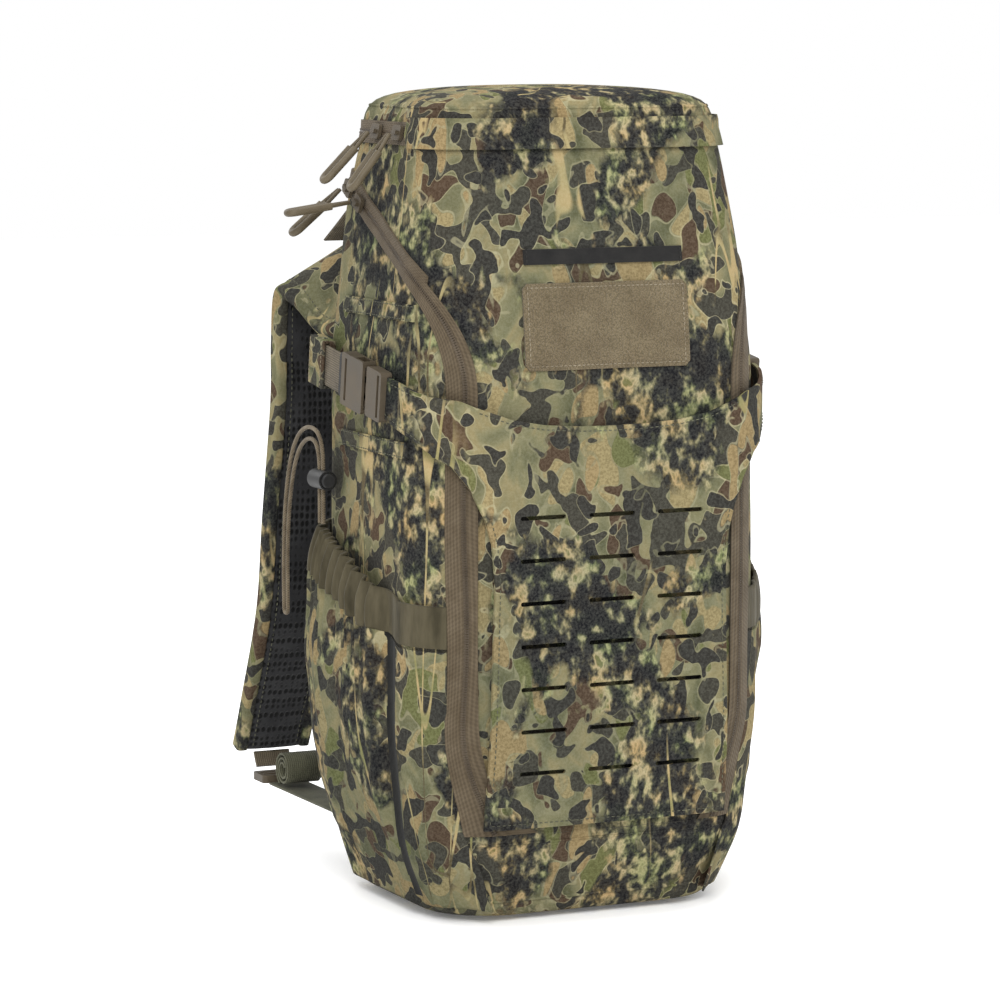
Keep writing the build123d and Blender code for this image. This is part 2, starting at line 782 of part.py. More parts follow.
# Load lifters run from the top of the back to the top of each strap
lifter_width = 20
lifter_x = 76
lifter_low = (strap_seat + 52, strap_height(398))
lifter_high = (bag_back, bag_height - 66)
with BuildPart() as load_lifters:
    for side in (-1, 1):
        with BuildSketch(Plane.YZ.offset(side * lifter_x - lifter_width / 2)):
            with BuildLine():
                lifter_line = Line(lifter_high, lifter_low)
            make_hull(lifter_line.edges() + [lifter_line.moved(Location((0, webbing_thickness))).edge()])
        extrude(amount=lifter_width)
    add(skin, mode=Mode.SUBTRACT)
load_lifters.part.label = "load_lifters"
export_step(load_lifters.part, "parts/load_lifters.step")

# Haul handle: an arch of webbing with its ends on two tabs
handle_front = bag_back + 5
handle_depth = 14
handle_thickness = 3
handle_foot = bag_height - 58
with BuildPart() as haul_handle:
    handle_points = [
        (-handle_half_width, handle_foot),
        (-handle_half_width + 6, handle_foot + handle_height),
        (handle_half_width - 6, handle_foot + handle_height),
        (handle_half_width, handle_foot),
    ]
    with BuildSketch(Plane.XZ.offset(-handle_front)):
        with BuildLine():
            FilletPolyline(*handle_points, radius=16)
        trace(line_width=handle_thickness)
    extrude(amount=-handle_depth)
haul_handle.part.label = "haul_handle"
export_step(haul_handle.part, "parts/haul_handle.step")

with BuildPart() as handle_tabs:
    for side in (-1, 1):
        with BuildSketch(Plane.XZ.offset(-bag_back)):
            with Locations((side * handle_half_width, handle_foot - 4 - 2 * clearance)):
                Rectangle(10, 7)
        extrude(amount=-(handle_front + handle_depth - bag_back))
    add(skin, mode=Mode.SUBTRACT)
    add(trim_layer.part, mode=Mode.SUBTRACT)
handle_tabs.part.label = "handle_tabs"
export_step(handle_tabs.part, "parts/handle_tabs.step")

# Lower end of each strap: tab, ladder lock, webbing to the base and its rolled tail
lower_x = bag_half_width - 23
lock_axis = (strap_seat + 117, 50)
lock_length = 20
lock_thickness = 5
lower_webbing_height = 45
roll_radius = 12
roll_y = strap_seat + 77
tab_outline = [
    (lock_axis[0] + y, lock_axis[1] + z) for y, z in ((2.5, 3), (5, 2), (10, 11), (7.5, 12.5))
]
with BuildPart() as strap_end_tabs:
    for side in (-1, 1):
        with BuildSketch(Plane.YZ.offset(side * lower_x - webbing / 2)):
            with BuildLine():
                Polyline(*tab_outline, close=True)
            make_face()
        extrude(amount=webbing)
strap_end_tabs.part.label = "strap_end_tabs"
export_step(strap_end_tabs.part, "parts/strap_end_tabs.step")

for hand, side in (("left", -1), ("right", 1)):
    with BuildPart() as ladder_lock:
        with BuildSketch(Plane.XY.offset(lock_axis[1] - lock_thickness)) as lock_outline:
            with Locations((side * lower_x, lock_axis[0] - lock_length / 2 + 3)):
                RectangleRounded(webbing + 6, lock_length, 3)
        extrude(amount=lock_thickness)
        with BuildSketch(Plane.XY.offset(lock_axis[1] - lock_thickness - 1)):
            with Locations((side * lower_x, lock_axis[0] - lock_length / 2 + 3)):
                with GridLocations(1, 7, 1, 2):
                    Rectangle(webbing + 0.6, 3)
        extrude(amount=lock_thickness + 2, mode=Mode.SUBTRACT)
    ladder_lock.part.label = f"ladder_lock_{hand}"
    export_step(ladder_lock.part, f"parts/ladder_lock_{hand}.step")

webbing_end_y = lock_axis[0] - lock_length + 3 - 1
with BuildPart() as lower_webbing:
    for side in (-1, 1):
        with BuildSketch(Plane.YZ.offset(side * lower_x - webbing / 2)):
            with Locations(((webbing_end_y + 60) / 2, lower_webbing_height)):
                Rectangle(webbing_end_y - 60, webbing_thickness)
        extrude(amount=webbing)
        add(pocket_form(side, 0), mode=Mode.SUBTRACT)
lower_webbing.part.label = "lower_webbing"
export_step(lower_webbing.part, "parts/lower_webbing.step")

with BuildPart() as webbing_rolls:
    for side in (-1, 1):
        with BuildSketch(Plane.YZ.offset(side * lower_x - webbing / 2)):
            with Locations((roll_y, lower_webbing_height + webbing_thickness / 2 + roll_radius)):
                Circle(roll_radius)
        extrude(amount=webbing)
webbing_rolls.part.label = "webbing_rolls"
export_step(webbing_rolls.part, "parts/webbing_rolls.step")

# Drawcord of the left pocket: up through the lock, over, down to a tight fold, and back
# Each point is out from the side, back from the pad's face and up from the pocket's mouth
cord_route = [
    (8, -34, 1),
    (8, -34, 48),
    (7, -14, 53),
    (5.5, 10, 39.5),
    (4, 25.5, 7),
    (3, 31.6, -27),
    (3, 31.2, -46),
    (3, 31.4, -57),
    (3, 31, -64),
    (3, 37, -64),
    (3, 37.2, -57),
    (3, 37.6, -46),
    (3, 37.4, -26),
    (4, 31.5, 11),
    (5.5, 15.5, 45),
    (7, -11, 60),
    (8, -39.5, 55),
    (8, -39.5, 1),
]
cord_points = [
    (-bag_half_width - out, strap_seat + back, pocket_height + up) for out, back, up in cord_route
]


def bend_radii(points):
    """The radius of the arc at each corner of a route: 0.45 of its shorter run over tan(turn / 2)."""
    radii = []
    for before, corner, after in zip(points, points[1:], points[2:]):
        first = Vector(*corner) - Vector(*before)
        second = Vector(*after) - Vector(*corner)
        half_turn = radians(first.get_angle(second)) / 2
        radii.append(0.45 * min(first.length, second.length) / tan(half_turn))
    return radii


cord_radii = bend_radii(cord_points)
print("cord radii", [round(radius, 1) for radius in cord_radii])
with BuildPart() as pocket_cord:
    with BuildLine() as cord_path:
        FilletPolyline(*cord_points, radius=cord_radii)
    with BuildSketch(Plane(cord_path.wires()[0] @ 0, z_dir=cord_path.wires()[0] % 0)):
        Circle(cord_diameter / 2)
    sweep(path=cord_path.wires()[0])
pocket_cord.part.label = "pocket_cord"
export_step(pocket_cord.part, "parts/pocket_cord.step")
cord_length = cord_path.wires()[0].length
tube_ratio = pocket_cord.part.volume / (cord_length * pi * cord_diameter**2 / 4)
print("cord length", round(cord_length, 1), "tube volume over section times length", round(tube_ratio, 3))

lock_height = pocket_height + 28
lock_x = cord_points[0][0]
lock_front = cord_points[-1][1] - 7.5
lock_back = cord_points[0][1] + 6
recess_depth = 5
with BuildPart() as cord_lock:
    with BuildSketch(Plane.XZ.offset(-lock_front)):
        with Locations((lock_x, lock_height)):
            Circle(lock_radius)
    extrude(amount=-(lock_back - lock_front))
    with BuildSketch(Plane.XZ.offset(-lock_front)):
        with Locations((lock_x, lock_height)):
            Circle(lock_radius - 1)
    extrude(amount=-recess_depth, mode=Mode.SUBTRACT)
    with BuildSketch(Plane.XY.offset(lock_height - 2 * lock_radius)):
        with Locations((lock_x, cord_points[0][1]), (lock_x, cord_points[-1][1])):
            Circle(cord_diameter / 2 + cord_clearance)
    extrude(amount=4 * lock_radius, mode=Mode.SUBTRACT)
cord_lock.part.label = "cord_lock"
export_step(cord_lock.part, "parts/cord_lock.step")

with BuildPart() as cord_lock_button:
    with BuildSketch(Plane.XZ.offset(-(lock_front - 2.5))):
        with Locations((lock_x, lock_height)):
            Circle(lock_radius - 1 - clearance)
    extrude(amount=-4.5)
    fillet(cord_lock_button.faces().sort_by(Axis.Y)[0].edges(), 1)
cord_lock_button.part.label = "cord_lock_button"
export_step(cord_lock_button.part, "parts/cord_lock_button.step")
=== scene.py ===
import math
import bmesh
import bpy
import numpy as np
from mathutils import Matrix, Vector, noise


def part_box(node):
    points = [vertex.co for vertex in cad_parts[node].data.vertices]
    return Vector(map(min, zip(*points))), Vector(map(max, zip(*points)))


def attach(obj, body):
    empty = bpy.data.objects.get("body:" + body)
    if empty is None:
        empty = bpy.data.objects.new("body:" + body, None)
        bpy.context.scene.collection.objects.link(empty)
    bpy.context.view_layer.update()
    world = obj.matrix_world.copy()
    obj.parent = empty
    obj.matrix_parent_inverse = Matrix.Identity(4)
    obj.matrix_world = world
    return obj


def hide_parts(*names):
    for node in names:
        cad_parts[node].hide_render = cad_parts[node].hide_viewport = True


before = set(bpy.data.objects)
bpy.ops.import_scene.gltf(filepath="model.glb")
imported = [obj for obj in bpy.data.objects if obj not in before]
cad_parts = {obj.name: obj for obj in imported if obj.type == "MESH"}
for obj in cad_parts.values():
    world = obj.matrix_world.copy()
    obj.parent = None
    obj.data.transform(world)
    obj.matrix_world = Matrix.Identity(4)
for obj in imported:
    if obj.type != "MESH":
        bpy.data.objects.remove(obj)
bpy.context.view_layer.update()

# The room: a pale sweep to stand the bag on, a big soft key light from the
# left front, a weaker fill from the right and a top light, and the camera.
bpy.ops.object.select_all(action="DESELECT")
bpy.ops.mesh.primitive_plane_add(size=14, location=(0, 0, -0.0005))
floor = bpy.context.active_object
floor.name = "floor"
floor_paint = bpy.data.materials.new("floor_paint")
floor_paint.use_nodes = True
paint = floor_paint.node_tree.nodes["Principled BSDF"]
paint.inputs["Base Color"].default_value = (0.95, 0.95, 0.95, 1)
paint.inputs["Emission Color"].default_value = (1, 1, 1, 1)
paint.inputs["Emission Strength"].default_value = 0.10
paint.inputs["Roughness"].default_value = 0.9
floor.data.materials.append(floor_paint)

for name, place, size, power in (
    ("key_light", (-1.4, -2.6, 2.1), 1.5, 78),
    ("fill_light", (2.6, -1.9, 1.5), 2.2, 26),
    ("top_light", (0.1, 0.4, 3.0), 2.4, 44),
    ("rear_light", (-1.2, 2.6, 1.8), 1.8, 24),
):
    bpy.ops.object.light_add(type="AREA", location=place)
    lamp = bpy.context.active_object
    lamp.name = name
    lamp.data.size = size
    lamp.data.energy = power
    lamp.rotation_euler = (Vector((0, 0, 0.24)) - Vector(place)).to_track_quat("-Z", "Y").to_euler()

world = bpy.data.worlds.new("studio")
world.use_nodes = True
world.node_tree.nodes["Background"].inputs["Color"].default_value = (1, 1, 1, 1)
world.node_tree.nodes["Background"].inputs["Strength"].default_value = 1.0
bpy.context.scene.world = world
bpy.context.scene.view_settings.view_transform = "Standard"

aim = Vector((-0.029, 0, 0.246))
toward_camera = Vector((-0.4197, -0.9001, 0.1167)).normalized()
bpy.ops.object.camera_add(location=aim + toward_camera * 2.6)
camera = bpy.context.active_object
camera.rotation_euler = (-toward_camera).to_track_quat("-Z", "Y").to_euler()
camera.data.sensor_width = 36
camera.data.lens = 153.5
bpy.context.scene.camera = camera


# Drawcord of the left pocket: one 2.6 mm braided cord, doubled. Both ends come
# out of the pocket's mouth, through the lock, arch over and hang to a tight fold.
mm = 0.001
cord_route = [
    (-125, 55, 231),
    (-125, 55, 246),
    (-125, 55, 278),
    (-124, 75, 283),
    (-122.5, 99, 269.5),
    (-121, 114.5, 237),
    (-120, 120.6, 203),
    (-120, 120.2, 184),
    (-120, 120.4, 173),
    (-120, 120, 166),
    (-120, 126, 166),
    (-120, 126.2, 173),
    (-120, 126.6, 184),
    (-120, 126.4, 204),
    (-121, 120.5, 241),
    (-122.5, 104.5, 275),
    (-124, 78, 290),
    (-125, 49.5, 285),
    (-125, 49.5, 246),
    (-125, 49.5, 231),
]
curve = bpy.data.curves.new("pocket_drawcord", "CURVE")
curve.dimensions = "3D"
curve.bevel_depth = 1.3 * mm
curve.bevel_resolution = 4
curve.resolution_u = 14
spline = curve.splines.new("NURBS")
spline.points.add(len(cord_route) - 1)
for point, (x, y, z) in zip(spline.points, cord_route):
    point.co = (x * mm, y * mm, z * mm, 1)
spline.order_u = 3
spline.use_endpoint_u = True
drawcord = bpy.data.objects.new("pocket_drawcord", curve)
bpy.context.collection.objects.link(drawcord)


class Paint:
    """A material being mixed: nodes are added by type and joined by name."""

    def __init__(self, name, roughness=0.8, sheen=0.0, specular=0.3):
        self.material = bpy.data.materials.new(name)
        self.material.use_nodes = True
        self.tree = self.material.node_tree
        self.surface = self.tree.nodes["Principled BSDF"]
        self.surface.inputs["Roughness"].default_value = roughness
        self.surface.inputs["Specular IOR Level"].default_value = specular
        self.surface.inputs["Sheen Weight"].default_value = sheen
        self.bumps = None

    def node(self, kind, inputs=None, **settings):
        made = self.tree.nodes.new("ShaderNode" + kind)
        for key, value in settings.items():
            setattr(made, key, value)
        for key, value in (inputs or {}).items():
            if isinstance(value, bpy.types.NodeSocket):
                self.tree.links.new(value, made.inputs[key])
            else:
                made.inputs[key].default_value = value
        return made

    def place(self, scale=(1, 1, 1), turn=(0, 0, 0), source="Object"):
        coords = self.node("TexCoord")
        return self.node(
            "Mapping", {"Vector": coords.outputs[source], "Scale": scale, "Rotation": turn}
        ).outputs["Vector"]

    def noise(self, vector, scale, detail=2.0, rough=0.5, distortion=0.0):
        made = self.node(
            "TexNoise",
            {"Vector": vector, "Scale": scale, "Detail": detail, "Roughness": rough, "Distortion": distortion},
        )
        return made

    def ramp(self, factor, stops, interpolation="LINEAR"):
        made = self.node("ValToRGB", {"Fac": factor})
        made.color_ramp.interpolation = interpolation
        elements = made.color_ramp.elements
        while len(elements) < len(stops):
            elements.new(0.5)
        for element, (position, colour) in zip(elements, stops):
            element.position = position
            element.color = (*colour, 1) if len(colour) == 3 else colour
        return made.outputs["Color"]

    def step(self, factor, low, high):
        """0 below low, 1 above high, a soft edge between."""
        made = self.node("MapRange", {"Value": factor, "From Min": low, "From Max": high})
        made.clamp = True
        return made.outputs["Result"]

    def maths(self, operation, first, second=0.0):
        made = self.node("Math", operation=operation)
        for index, value in enumerate((first, second)):
            if isinstance(value, bpy.types.NodeSocket):
                self.tree.links.new(value, made.inputs[index])
            else:
                made.inputs[index].default_value = value
        return made.outputs["Value"]

    def mix(self, factor, first, second, blend="MIX"):
        made = self.node("Mix", data_type="RGBA", blend_type=blend)
        for index, value in ((0, factor), (6, first), (7, second)):
            socket = made.inputs[index]
            if isinstance(value, bpy.types.NodeSocket):
                self.tree.links.new(value, socket)
            else:
                socket.default_value = (*value, 1) if isinstance(value, tuple) else value
        return made.outputs[2]

    def bump(self, height, strength, distance=0.001):
        settings = {"Height": height, "Strength": strength, "Distance": distance}
        if self.bumps is not None:
            settings["Normal"] = self.bumps
        self.bumps = self.node("Bump", settings).outputs["Normal"]
        self.tree.links.new(self.bumps, self.surface.inputs["Normal"])

    def colour(self, socket):
        self.tree.links.new(socket, self.surface.inputs["Base Color"])

    def rough(self, socket):
        self.tree.links.new(socket, self.surface.inputs["Roughness"])


def braided_cord(name, dark, light):
    """Braided sheath: two crossed sets of slanting strands."""
    p = Paint(name, roughness=0.75, sheen=0.09, specular=0.113)
    at = p.place()
    strands = []
    for turn in (0.7, -0.7):
        slant = p.place((1, 1, 1), (turn, turn * 0.5, 0))
        strands.append(
            p.node(
                "TexWave",
                {"Vector": slant, "Scale": math.tau / 20 / 0.0011, "Distortion": 0.4},
                bands_direction="Z",
            ).outputs["Fac"]
        )
    height = p.maths("MAXIMUM", strands[0], strands[1])
    base = p.ramp(p.noise(at, 120, 3).outputs["Fac"], [(0.3, dark), (0.7, light)])
    # Darker where the strands dip: painted shade between the strands of the braid.
    p.colour(p.mix(p.step(height, 0.5, 0.9), p.mix(0.5, base, (0.01, 0.01, 0.008)), base))
    p.bump(height, 0.6, 0.0004)
    return p.material


cord_sheath = braided_cord("cord_sheath", (0.105, 0.080, 0.050), (0.175, 0.140, 0.092))
drawcord.data.materials.append(cord_sheath)
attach(drawcord, "root")
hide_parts("pocket_cord")


# The stuffed bag: a lofted skin of printed nylon, 3 mm thick with its foam and
# lining. Its rings are rounded oblongs that swell at the belly and draw in at
# the base and crown. Every cloth layer of the bag is taken off this one skin.


def select_only(obj):
    """Nothing is selected but this object."""
    bpy.ops.object.select_all(action="DESELECT")
    bpy.context.view_layer.objects.active = obj
    obj.select_set(True)


def made_object(name, build):
    """An object from a bmesh in metres."""
    mesh = bpy.data.meshes.new(name)
    build.to_mesh(mesh)
    build.free()
    obj = bpy.data.objects.new(name, mesh)
    bpy.context.collection.objects.link(obj)
    return obj


def finish_piece(obj, material, body, replaces=(), angle=40):
    """The piece smooth, coloured, on its body and standing for its nodes."""
    select_only(obj)
    bpy.ops.object.shade_smooth_by_angle(angle=math.radians(angle))
    if material is not None:
        obj.data.materials.clear()
        obj.data.materials.append(material)
    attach(obj, body)
    if replaces:
        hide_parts(*replaces)
    return obj


def new_piece(name, build, material, body, replaces=(), angle=40):
    """A piece from a bmesh, finished."""
    return finish_piece(made_object(name, build), material, body, replaces, angle)


def apply_modifier(obj, kind, **settings):
    """One modifier, set and applied at once."""
    select_only(obj)
    modifier = obj.modifiers.new(kind, kind)
    for key, value in settings.items():
        setattr(modifier, key, value)
    bpy.ops.object.modifier_apply(modifier=modifier.name)


def weave(paint, vector, pitch, strength):
    """Plain weave: two crossed sets of fine threads, pitch in metres."""
    heights = []
    for direction in ("X", "Z"):
        thread = paint.node(
            "TexWave",
            {"Vector": vector, "Scale": math.tau / 20 / pitch, "Distortion": 0.6, "Detail": 1.0},
            wave_type="BANDS",
            bands_direction=direction,
        )
        heights.append(thread.outputs["Fac"])
    both = paint.maths("MAXIMUM", heights[0], heights[1])
    paint.bump(both, strength, 0.0004)
    return both


def camo_cloth():
    """Printed nylon: outlined leaf shapes over blurred bark, twigs and lichen."""
    p = Paint("camo_cloth", roughness=0.86, sheen=0, specular=0.068)
    at = p.place()
    fade = p.noise(at, 9, 2, 0.5).outputs["Fac"]
    grain = p.noise(at, 620, 3, 0.7).outputs["Fac"]

    # Ground of sage, khaki and dull green, in broad soft patches
    ground = p.ramp(
        p.noise(p.place((1.0, 1.0, 0.7), (0, 0.3, 0)), 34, 2, 0.5, 0.8).outputs["Fac"],
        [
            (0.30, (0.075, 0.086, 0.050)),
            (0.42, (0.140, 0.150, 0.093)),
            (0.50, (0.190, 0.196, 0.123)),
            (0.58, (0.245, 0.228, 0.135)),
            (0.70, (0.165, 0.174, 0.112)),
        ],
    )
    # Leaf and gap shapes, each with a thin pale outline; bigger thresholds give fewer shapes
    shapes = [
        ((0.95, 1.0, 0.70), (0.3, 0.5, 0.2), 41, 0.575, (0.300, 0.262, 0.145), 3.1),
        ((1.0, 1.0, 0.85), (0.0, -0.6, 0.9), 47, 0.585, (0.070, 0.044, 0.028), 7.7),
        ((1.1, 1.0, 0.65), (0.8, 0.2, 0.1), 39, 0.620, (0.130, 0.150, 0.060), 12.9),
        ((1.0, 1.0, 1.00), (0.4, 0.9, 0.0), 54, 0.568, (0.040, 0.041, 0.036), 21.3),
        ((1.1, 1.0, 0.50), (0.1, 0.3, 0.7), 46, 0.632, (0.300, 0.240, 0.130), 33.5),
        ((1.0, 1.0, 0.90), (0.7, 0.0, 0.4), 62, 0.600, (0.024, 0.025, 0.026), 44.1),
    ]
    cloth = ground
    rim = p.mix(p.step(fade, 0.40, 0.58), (0.165, 0.175, 0.120), (0.42, 0.42, 0.30))
    for scale, turn, size, threshold, colour, shift in shapes:
        where = p.node(
            "Mapping", {"Vector": at, "Scale": scale, "Rotation": turn, "Location": (shift, shift * 0.7, -shift)}
        ).outputs[0]
        field = p.noise(where, size, 1.0, 0.4, 0.35).outputs["Fac"]
        rising = p.step(field, threshold - 0.020, threshold - 0.014)
        falling = p.step(field, threshold + 0.003, threshold - 0.003)
        line = p.maths("MULTIPLY", rising, falling)
        cloth = p.mix(p.maths("MULTIPLY", line, 0.5), cloth, rim)
        worn = p.mix(p.step(grain, 0.55, 0.40), colour, tuple(0.72 * c + 0.012 for c in colour))
        cloth = p.mix(p.step(field, threshold, threshold + 0.006), cloth, worn)

    # Bark and lichen zones: out of focus, near black against cream
    blurred = p.noise(p.place((1.15, 1.0, 0.8), (0, 0.4, 0)), 140, 3.0, 0.5, 0.1).outputs["Fac"]
    deep = p.noise(at, 30, 2, 0.5).outputs["Fac"]
    bark_fac = p.maths("ADD", blurred, p.maths("MULTIPLY", p.maths("SUBTRACT", deep, 0.5), 0.55))
    bark = p.ramp(
        bark_fac,
        [
            (0.38, (0.008, 0.009, 0.014)),
            (0.48, (0.022, 0.024, 0.027)),
            (0.54, (0.085, 0.088, 0.062)),
            (0.59, (0.210, 0.208, 0.135)),
            (0.66, (0.420, 0.385, 0.260)),
            (0.76, (0.150, 0.165, 0.080)),
        ],
    )
    tint = p.ramp(
        p.noise(at, 44, 2).outputs["Fac"],
        [(0.35, (0.75, 0.95, 0.75)), (0.50, (1.0, 1.0, 1.0)), (0.66, (1.10, 0.88, 0.70))],
    )
    bark = p.mix(0.8, bark, tint, "MULTIPLY")
    zone = p.noise(p.place((1.0, 1.0, 0.85)), 12.5, 3, 0.55, 0.4).outputs["Fac"]
    zone = p.step(p.maths("ADD", zone, p.maths("MULTIPLY", p.maths("SUBTRACT", blurred, 0.5), 0.12)), 0.515, 0.555)
    cloth = p.mix(zone, cloth, bark)

    # Twigs and grass: long pale or ochre strokes
    for turn, size, bright, limit in (((0.5, 0.95, 0.25), 50, 0.0, 0.57), ((0.2, -0.75, 0.6), 60, 9.0, 0.60)):
        where = p.node(
            "Mapping", {"Vector": at, "Scale": (1.0, 1.0, 0.10), "Rotation": turn, "Location": (bright, 0, bright)}
        ).outputs[0]
        field = p.noise(where, size, 0.0, 0.4, 0.0).outputs["Fac"]
        stroke = p.step(p.maths("ABSOLUTE", p.maths("SUBTRACT", field, 0.5)), 0.020, 0.012)
        stroke = p.maths("MULTIPLY", stroke, p.step(p.noise(where, 21, 1).outputs["Fac"], limit, limit + 0.03))
        hue = p.ramp(
            p.noise(at, 26, 2).outputs["Fac"],
            [
                (0.38, (0.10, 0.085, 0.05)),
                (0.46, (0.36, 0.33, 0.19)),
                (0.56, (0.42, 0.35, 0.20)),
                (0.66, (0.22, 0.23, 0.11)),
            ],
        )
        cloth = p.mix(stroke, cloth, hue)
    drift = p.ramp(p.noise(at, 7, 2).outputs["Fac"], [(0.35, (0.60, 0.57, 0.49)), (0.65, (0.80, 0.71, 0.59))])
    cloth = p.mix(1.0, cloth, drift, "MULTIPLY")
    p.colour(p.mix(0.05, cloth, p.ramp(grain, [(0.4, (0.02, 0.02, 0.018)), (0.62, (0.5, 0.5, 0.42))])))
    p.bump(p.noise(at, 26, 3, 0.5).outputs["Fac"], 0.45, 0.007)
    p.bump(p.noise(at, 95, 2, 0.5).outputs["Fac"], 0.3, 0.0018)
    weave(p, at, 0.0011, 0.22)
    return p.material


def plain_cloth(name, dark, light, pitch, strength, roughness=0.85):
    """Uncoated weave of one colour, with a little uneven dye and painted shade between its threads."""
    p = Paint(name, roughness=roughness, sheen=0.06, specular=0.09)
    at = p.place()
    shade = p.noise(at, 60, 4, 0.6).outputs["Fac"]
    fine = weave(p, at, pitch, strength)
    colour = p.ramp(shade, [(0.3, dark), (0.7, light)])
    # Darker where the threads dip: painted shade between the threads.
    p.colour(p.mix(p.step(fine, 0.75, 0.2), colour, p.mix(0.35, colour, (0.01, 0.01, 0.01))))
    p.bump(p.noise(at, 30, 2).outputs["Fac"], 0.25, 0.004)
    return p.material


camo = camo_cloth()


def eased(stations, span=12.0):
    """Size against height in mm: straight between stations, eased over span."""
    heights = [height for height, size in stations]
    sizes = [size for height, size in stations]
    return lambda z: sum(np.interp(z + d, heights, sizes) for d in np.linspace(-span, span, 9)) / 9


half_width_at = eased([(-20, 85), (0, 95), (45, 110), (115, 117), (335, 117), (400, 109), (460, 101), (500, 95)])
front_at = eased([(-20, 58), (0, 65), (45, 84), (115, 90), (335, 90), (400, 83), (460, 70), (500, 55)])
back_at = eased([(-20, 72), (0, 75), (22, 81), (430, 81), (480, 70), (500, 66)])
front_radius_at = eased([(0, 40), (60, 50), (340, 50), (430, 44), (480, 38)])
back_radius_at = eased([(0, 26), (60, 28), (480, 28)])
columns = 264


def ring(z, shrink):
    """One closed ring of points round the bag at height z, drawn in to shrink of its size."""
    half, front, back = half_width_at(z), front_at(z), back_at(z)
    middle, depth = (back - front) / 2, (back + front) / 2
    angles = np.arange(columns) * math.tau / columns
    dx, dy = np.cos(angles), np.sin(angles)
    radius = np.where(dy < 0, front_radius_at(z), back_radius_at(z))
    low, high = np.zeros(columns), np.full(columns, 400.0)
    for _ in range(40):
        reach = (low + high) / 2
        qx = np.abs(dx * reach) - (half - radius)
        qy = np.abs(dy * reach) - (depth - radius)
        outside = np.hypot(np.maximum(qx, 0), np.maximum(qy, 0)) + np.minimum(np.maximum(qx, qy), 0) > radius
        high = np.where(outside, reach, high)
        low = np.where(outside, low, reach)
    return [(x * r * shrink, middle + y * r * shrink) for x, y, r in zip(dx, dy, low)]


crown_curve = [(472, 1.0), (477, 0.997), (481, 0.985), (484.5, 0.966), (487, 0.945), (489.3, 0.915),
               (491.2, 0.87), (492.8, 0.81), (494.2, 0.73), (495.5, 0.63), (496.5, 0.52), (497.2, 0.40),
               (497.7, 0.27), (498, 0.14)]
base_curve = [(0.0, 0.12), (0.1, 0.3), (0.3, 0.5), (0.8, 0.7), (1.8, 0.84), (3.6, 0.925), (6.4, 0.968),
              (10, 0.99), (14, 1.0)]
levels = [(z, k, 14.0) for z, k in base_curve]
levels += [(z, 1.0, z) for z in np.arange(17.2, 470.5, 3.2)]
levels += [(z, k, 472.0) for z, k in crown_curve]
build = bmesh.new()
rings = [[build.verts.new((x * mm, y * mm, z * mm)) for x, y in ring(at, k)] for z, k, at in levels]
for lower, upper in zip(rings, rings[1:]):
    for i in range(columns):
        j = (i + 1) % columns
        build.faces.new((lower[i], lower[j], upper[j], upper[i]))
for edge_ring, height, turned in ((rings[0], 0, True), (rings[-1], 498, False)):
    pole = build.verts.new((0, sum(v.co.y for v in edge_ring) / columns, height * mm))
    for i in range(columns):
        j = (i + 1) % columns
        build.faces.new((edge_ring[j], edge_ring[i], pole) if turned else (edge_ring[i], edge_ring[j], pole))
build.normal_update()
# Soft dents, only ever inward, with longer creases that run down from the crown
for vert in build.verts:
    x, y, z = (c / mm for c in vert.co)
    calm = min(1.0, max(0.0, (z - 4) / 30)) * min(1.0, max(0.0, (494 - z) / 16))
    broad = noise.noise(Vector((x / 62, y / 62, z / 85 + 3.1)))
    crease = noise.noise(Vector((x / 24 + 9, y / 24, z / 70)))
    vert.co -= vert.normal * (1.3 + 1.1 * broad + 0.7 * crease) * calm * mm
build.normal_update()
skin_mesh = bpy.data.meshes.new("bag_skin")
build.to_mesh(skin_mesh)
build.free()


def cloth_layer(name, out, thickness):
    """A closed shell that follows the skin: its outer face stands out by out, in mm."""
    layer = bmesh.new()
    layer.from_mesh(skin_mesh)
    layer.normal_update()
    for vert in layer.verts:
        vert.co += vert.normal * out * mm
    obj = made_object(name, layer)
    apply_modifier(obj, "SOLIDIFY", thickness=thickness * mm, offset=-1)
    return obj


def prism(build, ends):
    """A solid between two matching outlines of vertices."""
    build.faces.new(ends[0])
    build.faces.new(ends[1][::-1])
    count = len(ends[0])
    for i in range(count):
        j = (i + 1) % count
        build.faces.new((ends[0][i], ends[1][i], ends[1][j], ends[0][j]))


def block(name, outline, plane, span=(-400, 400)):
    """A cutting block: an outline in the YZ or XZ plane, in mm, drawn out along the other direction."""
    made = bmesh.new()
    ends = []
    for reach in span:
        if plane == "YZ":
            ends.append([made.verts.new((reach * mm, a * mm, b * mm)) for a, b in outline])
        else:
            ends.append([made.verts.new((a * mm, reach * mm, b * mm)) for a, b in outline])
    prism(made, ends)
    bmesh.ops.recalc_face_normals(made, faces=made.faces[:])
    return made_object(name, made)


def cut(obj, cutter, operation):
    """Cuts obj with a block, which is then thrown away."""
    apply_modifier(obj, "BOOLEAN", object=cutter, operation=operation, solver="EXACT")
    bpy.data.objects.remove(cutter)


def rounded_path(points, radii, steps=10):
    """A path with its inner corners rounded by arcs."""
    path = [Vector(points[0])]
    for before, corner, after, radius in zip(points, points[1:], points[2:], radii):
        before, corner, after = Vector(before), Vector(corner), Vector(after)
        first, second = (before - corner).normalized(), (after - corner).normalized()
        half = first.angle(second) / 2
        start, end = corner + first * radius / math.tan(half), corner + second * radius / math.tan(half)
        centre = corner + (first + second).normalized() * radius / math.sin(half)
        for i in range(steps + 1):
            arm = (start - centre).lerp(end - centre, i / steps)
            path.append(centre + arm.normalized() * radius)
    return path + [Vector(points[-1])]


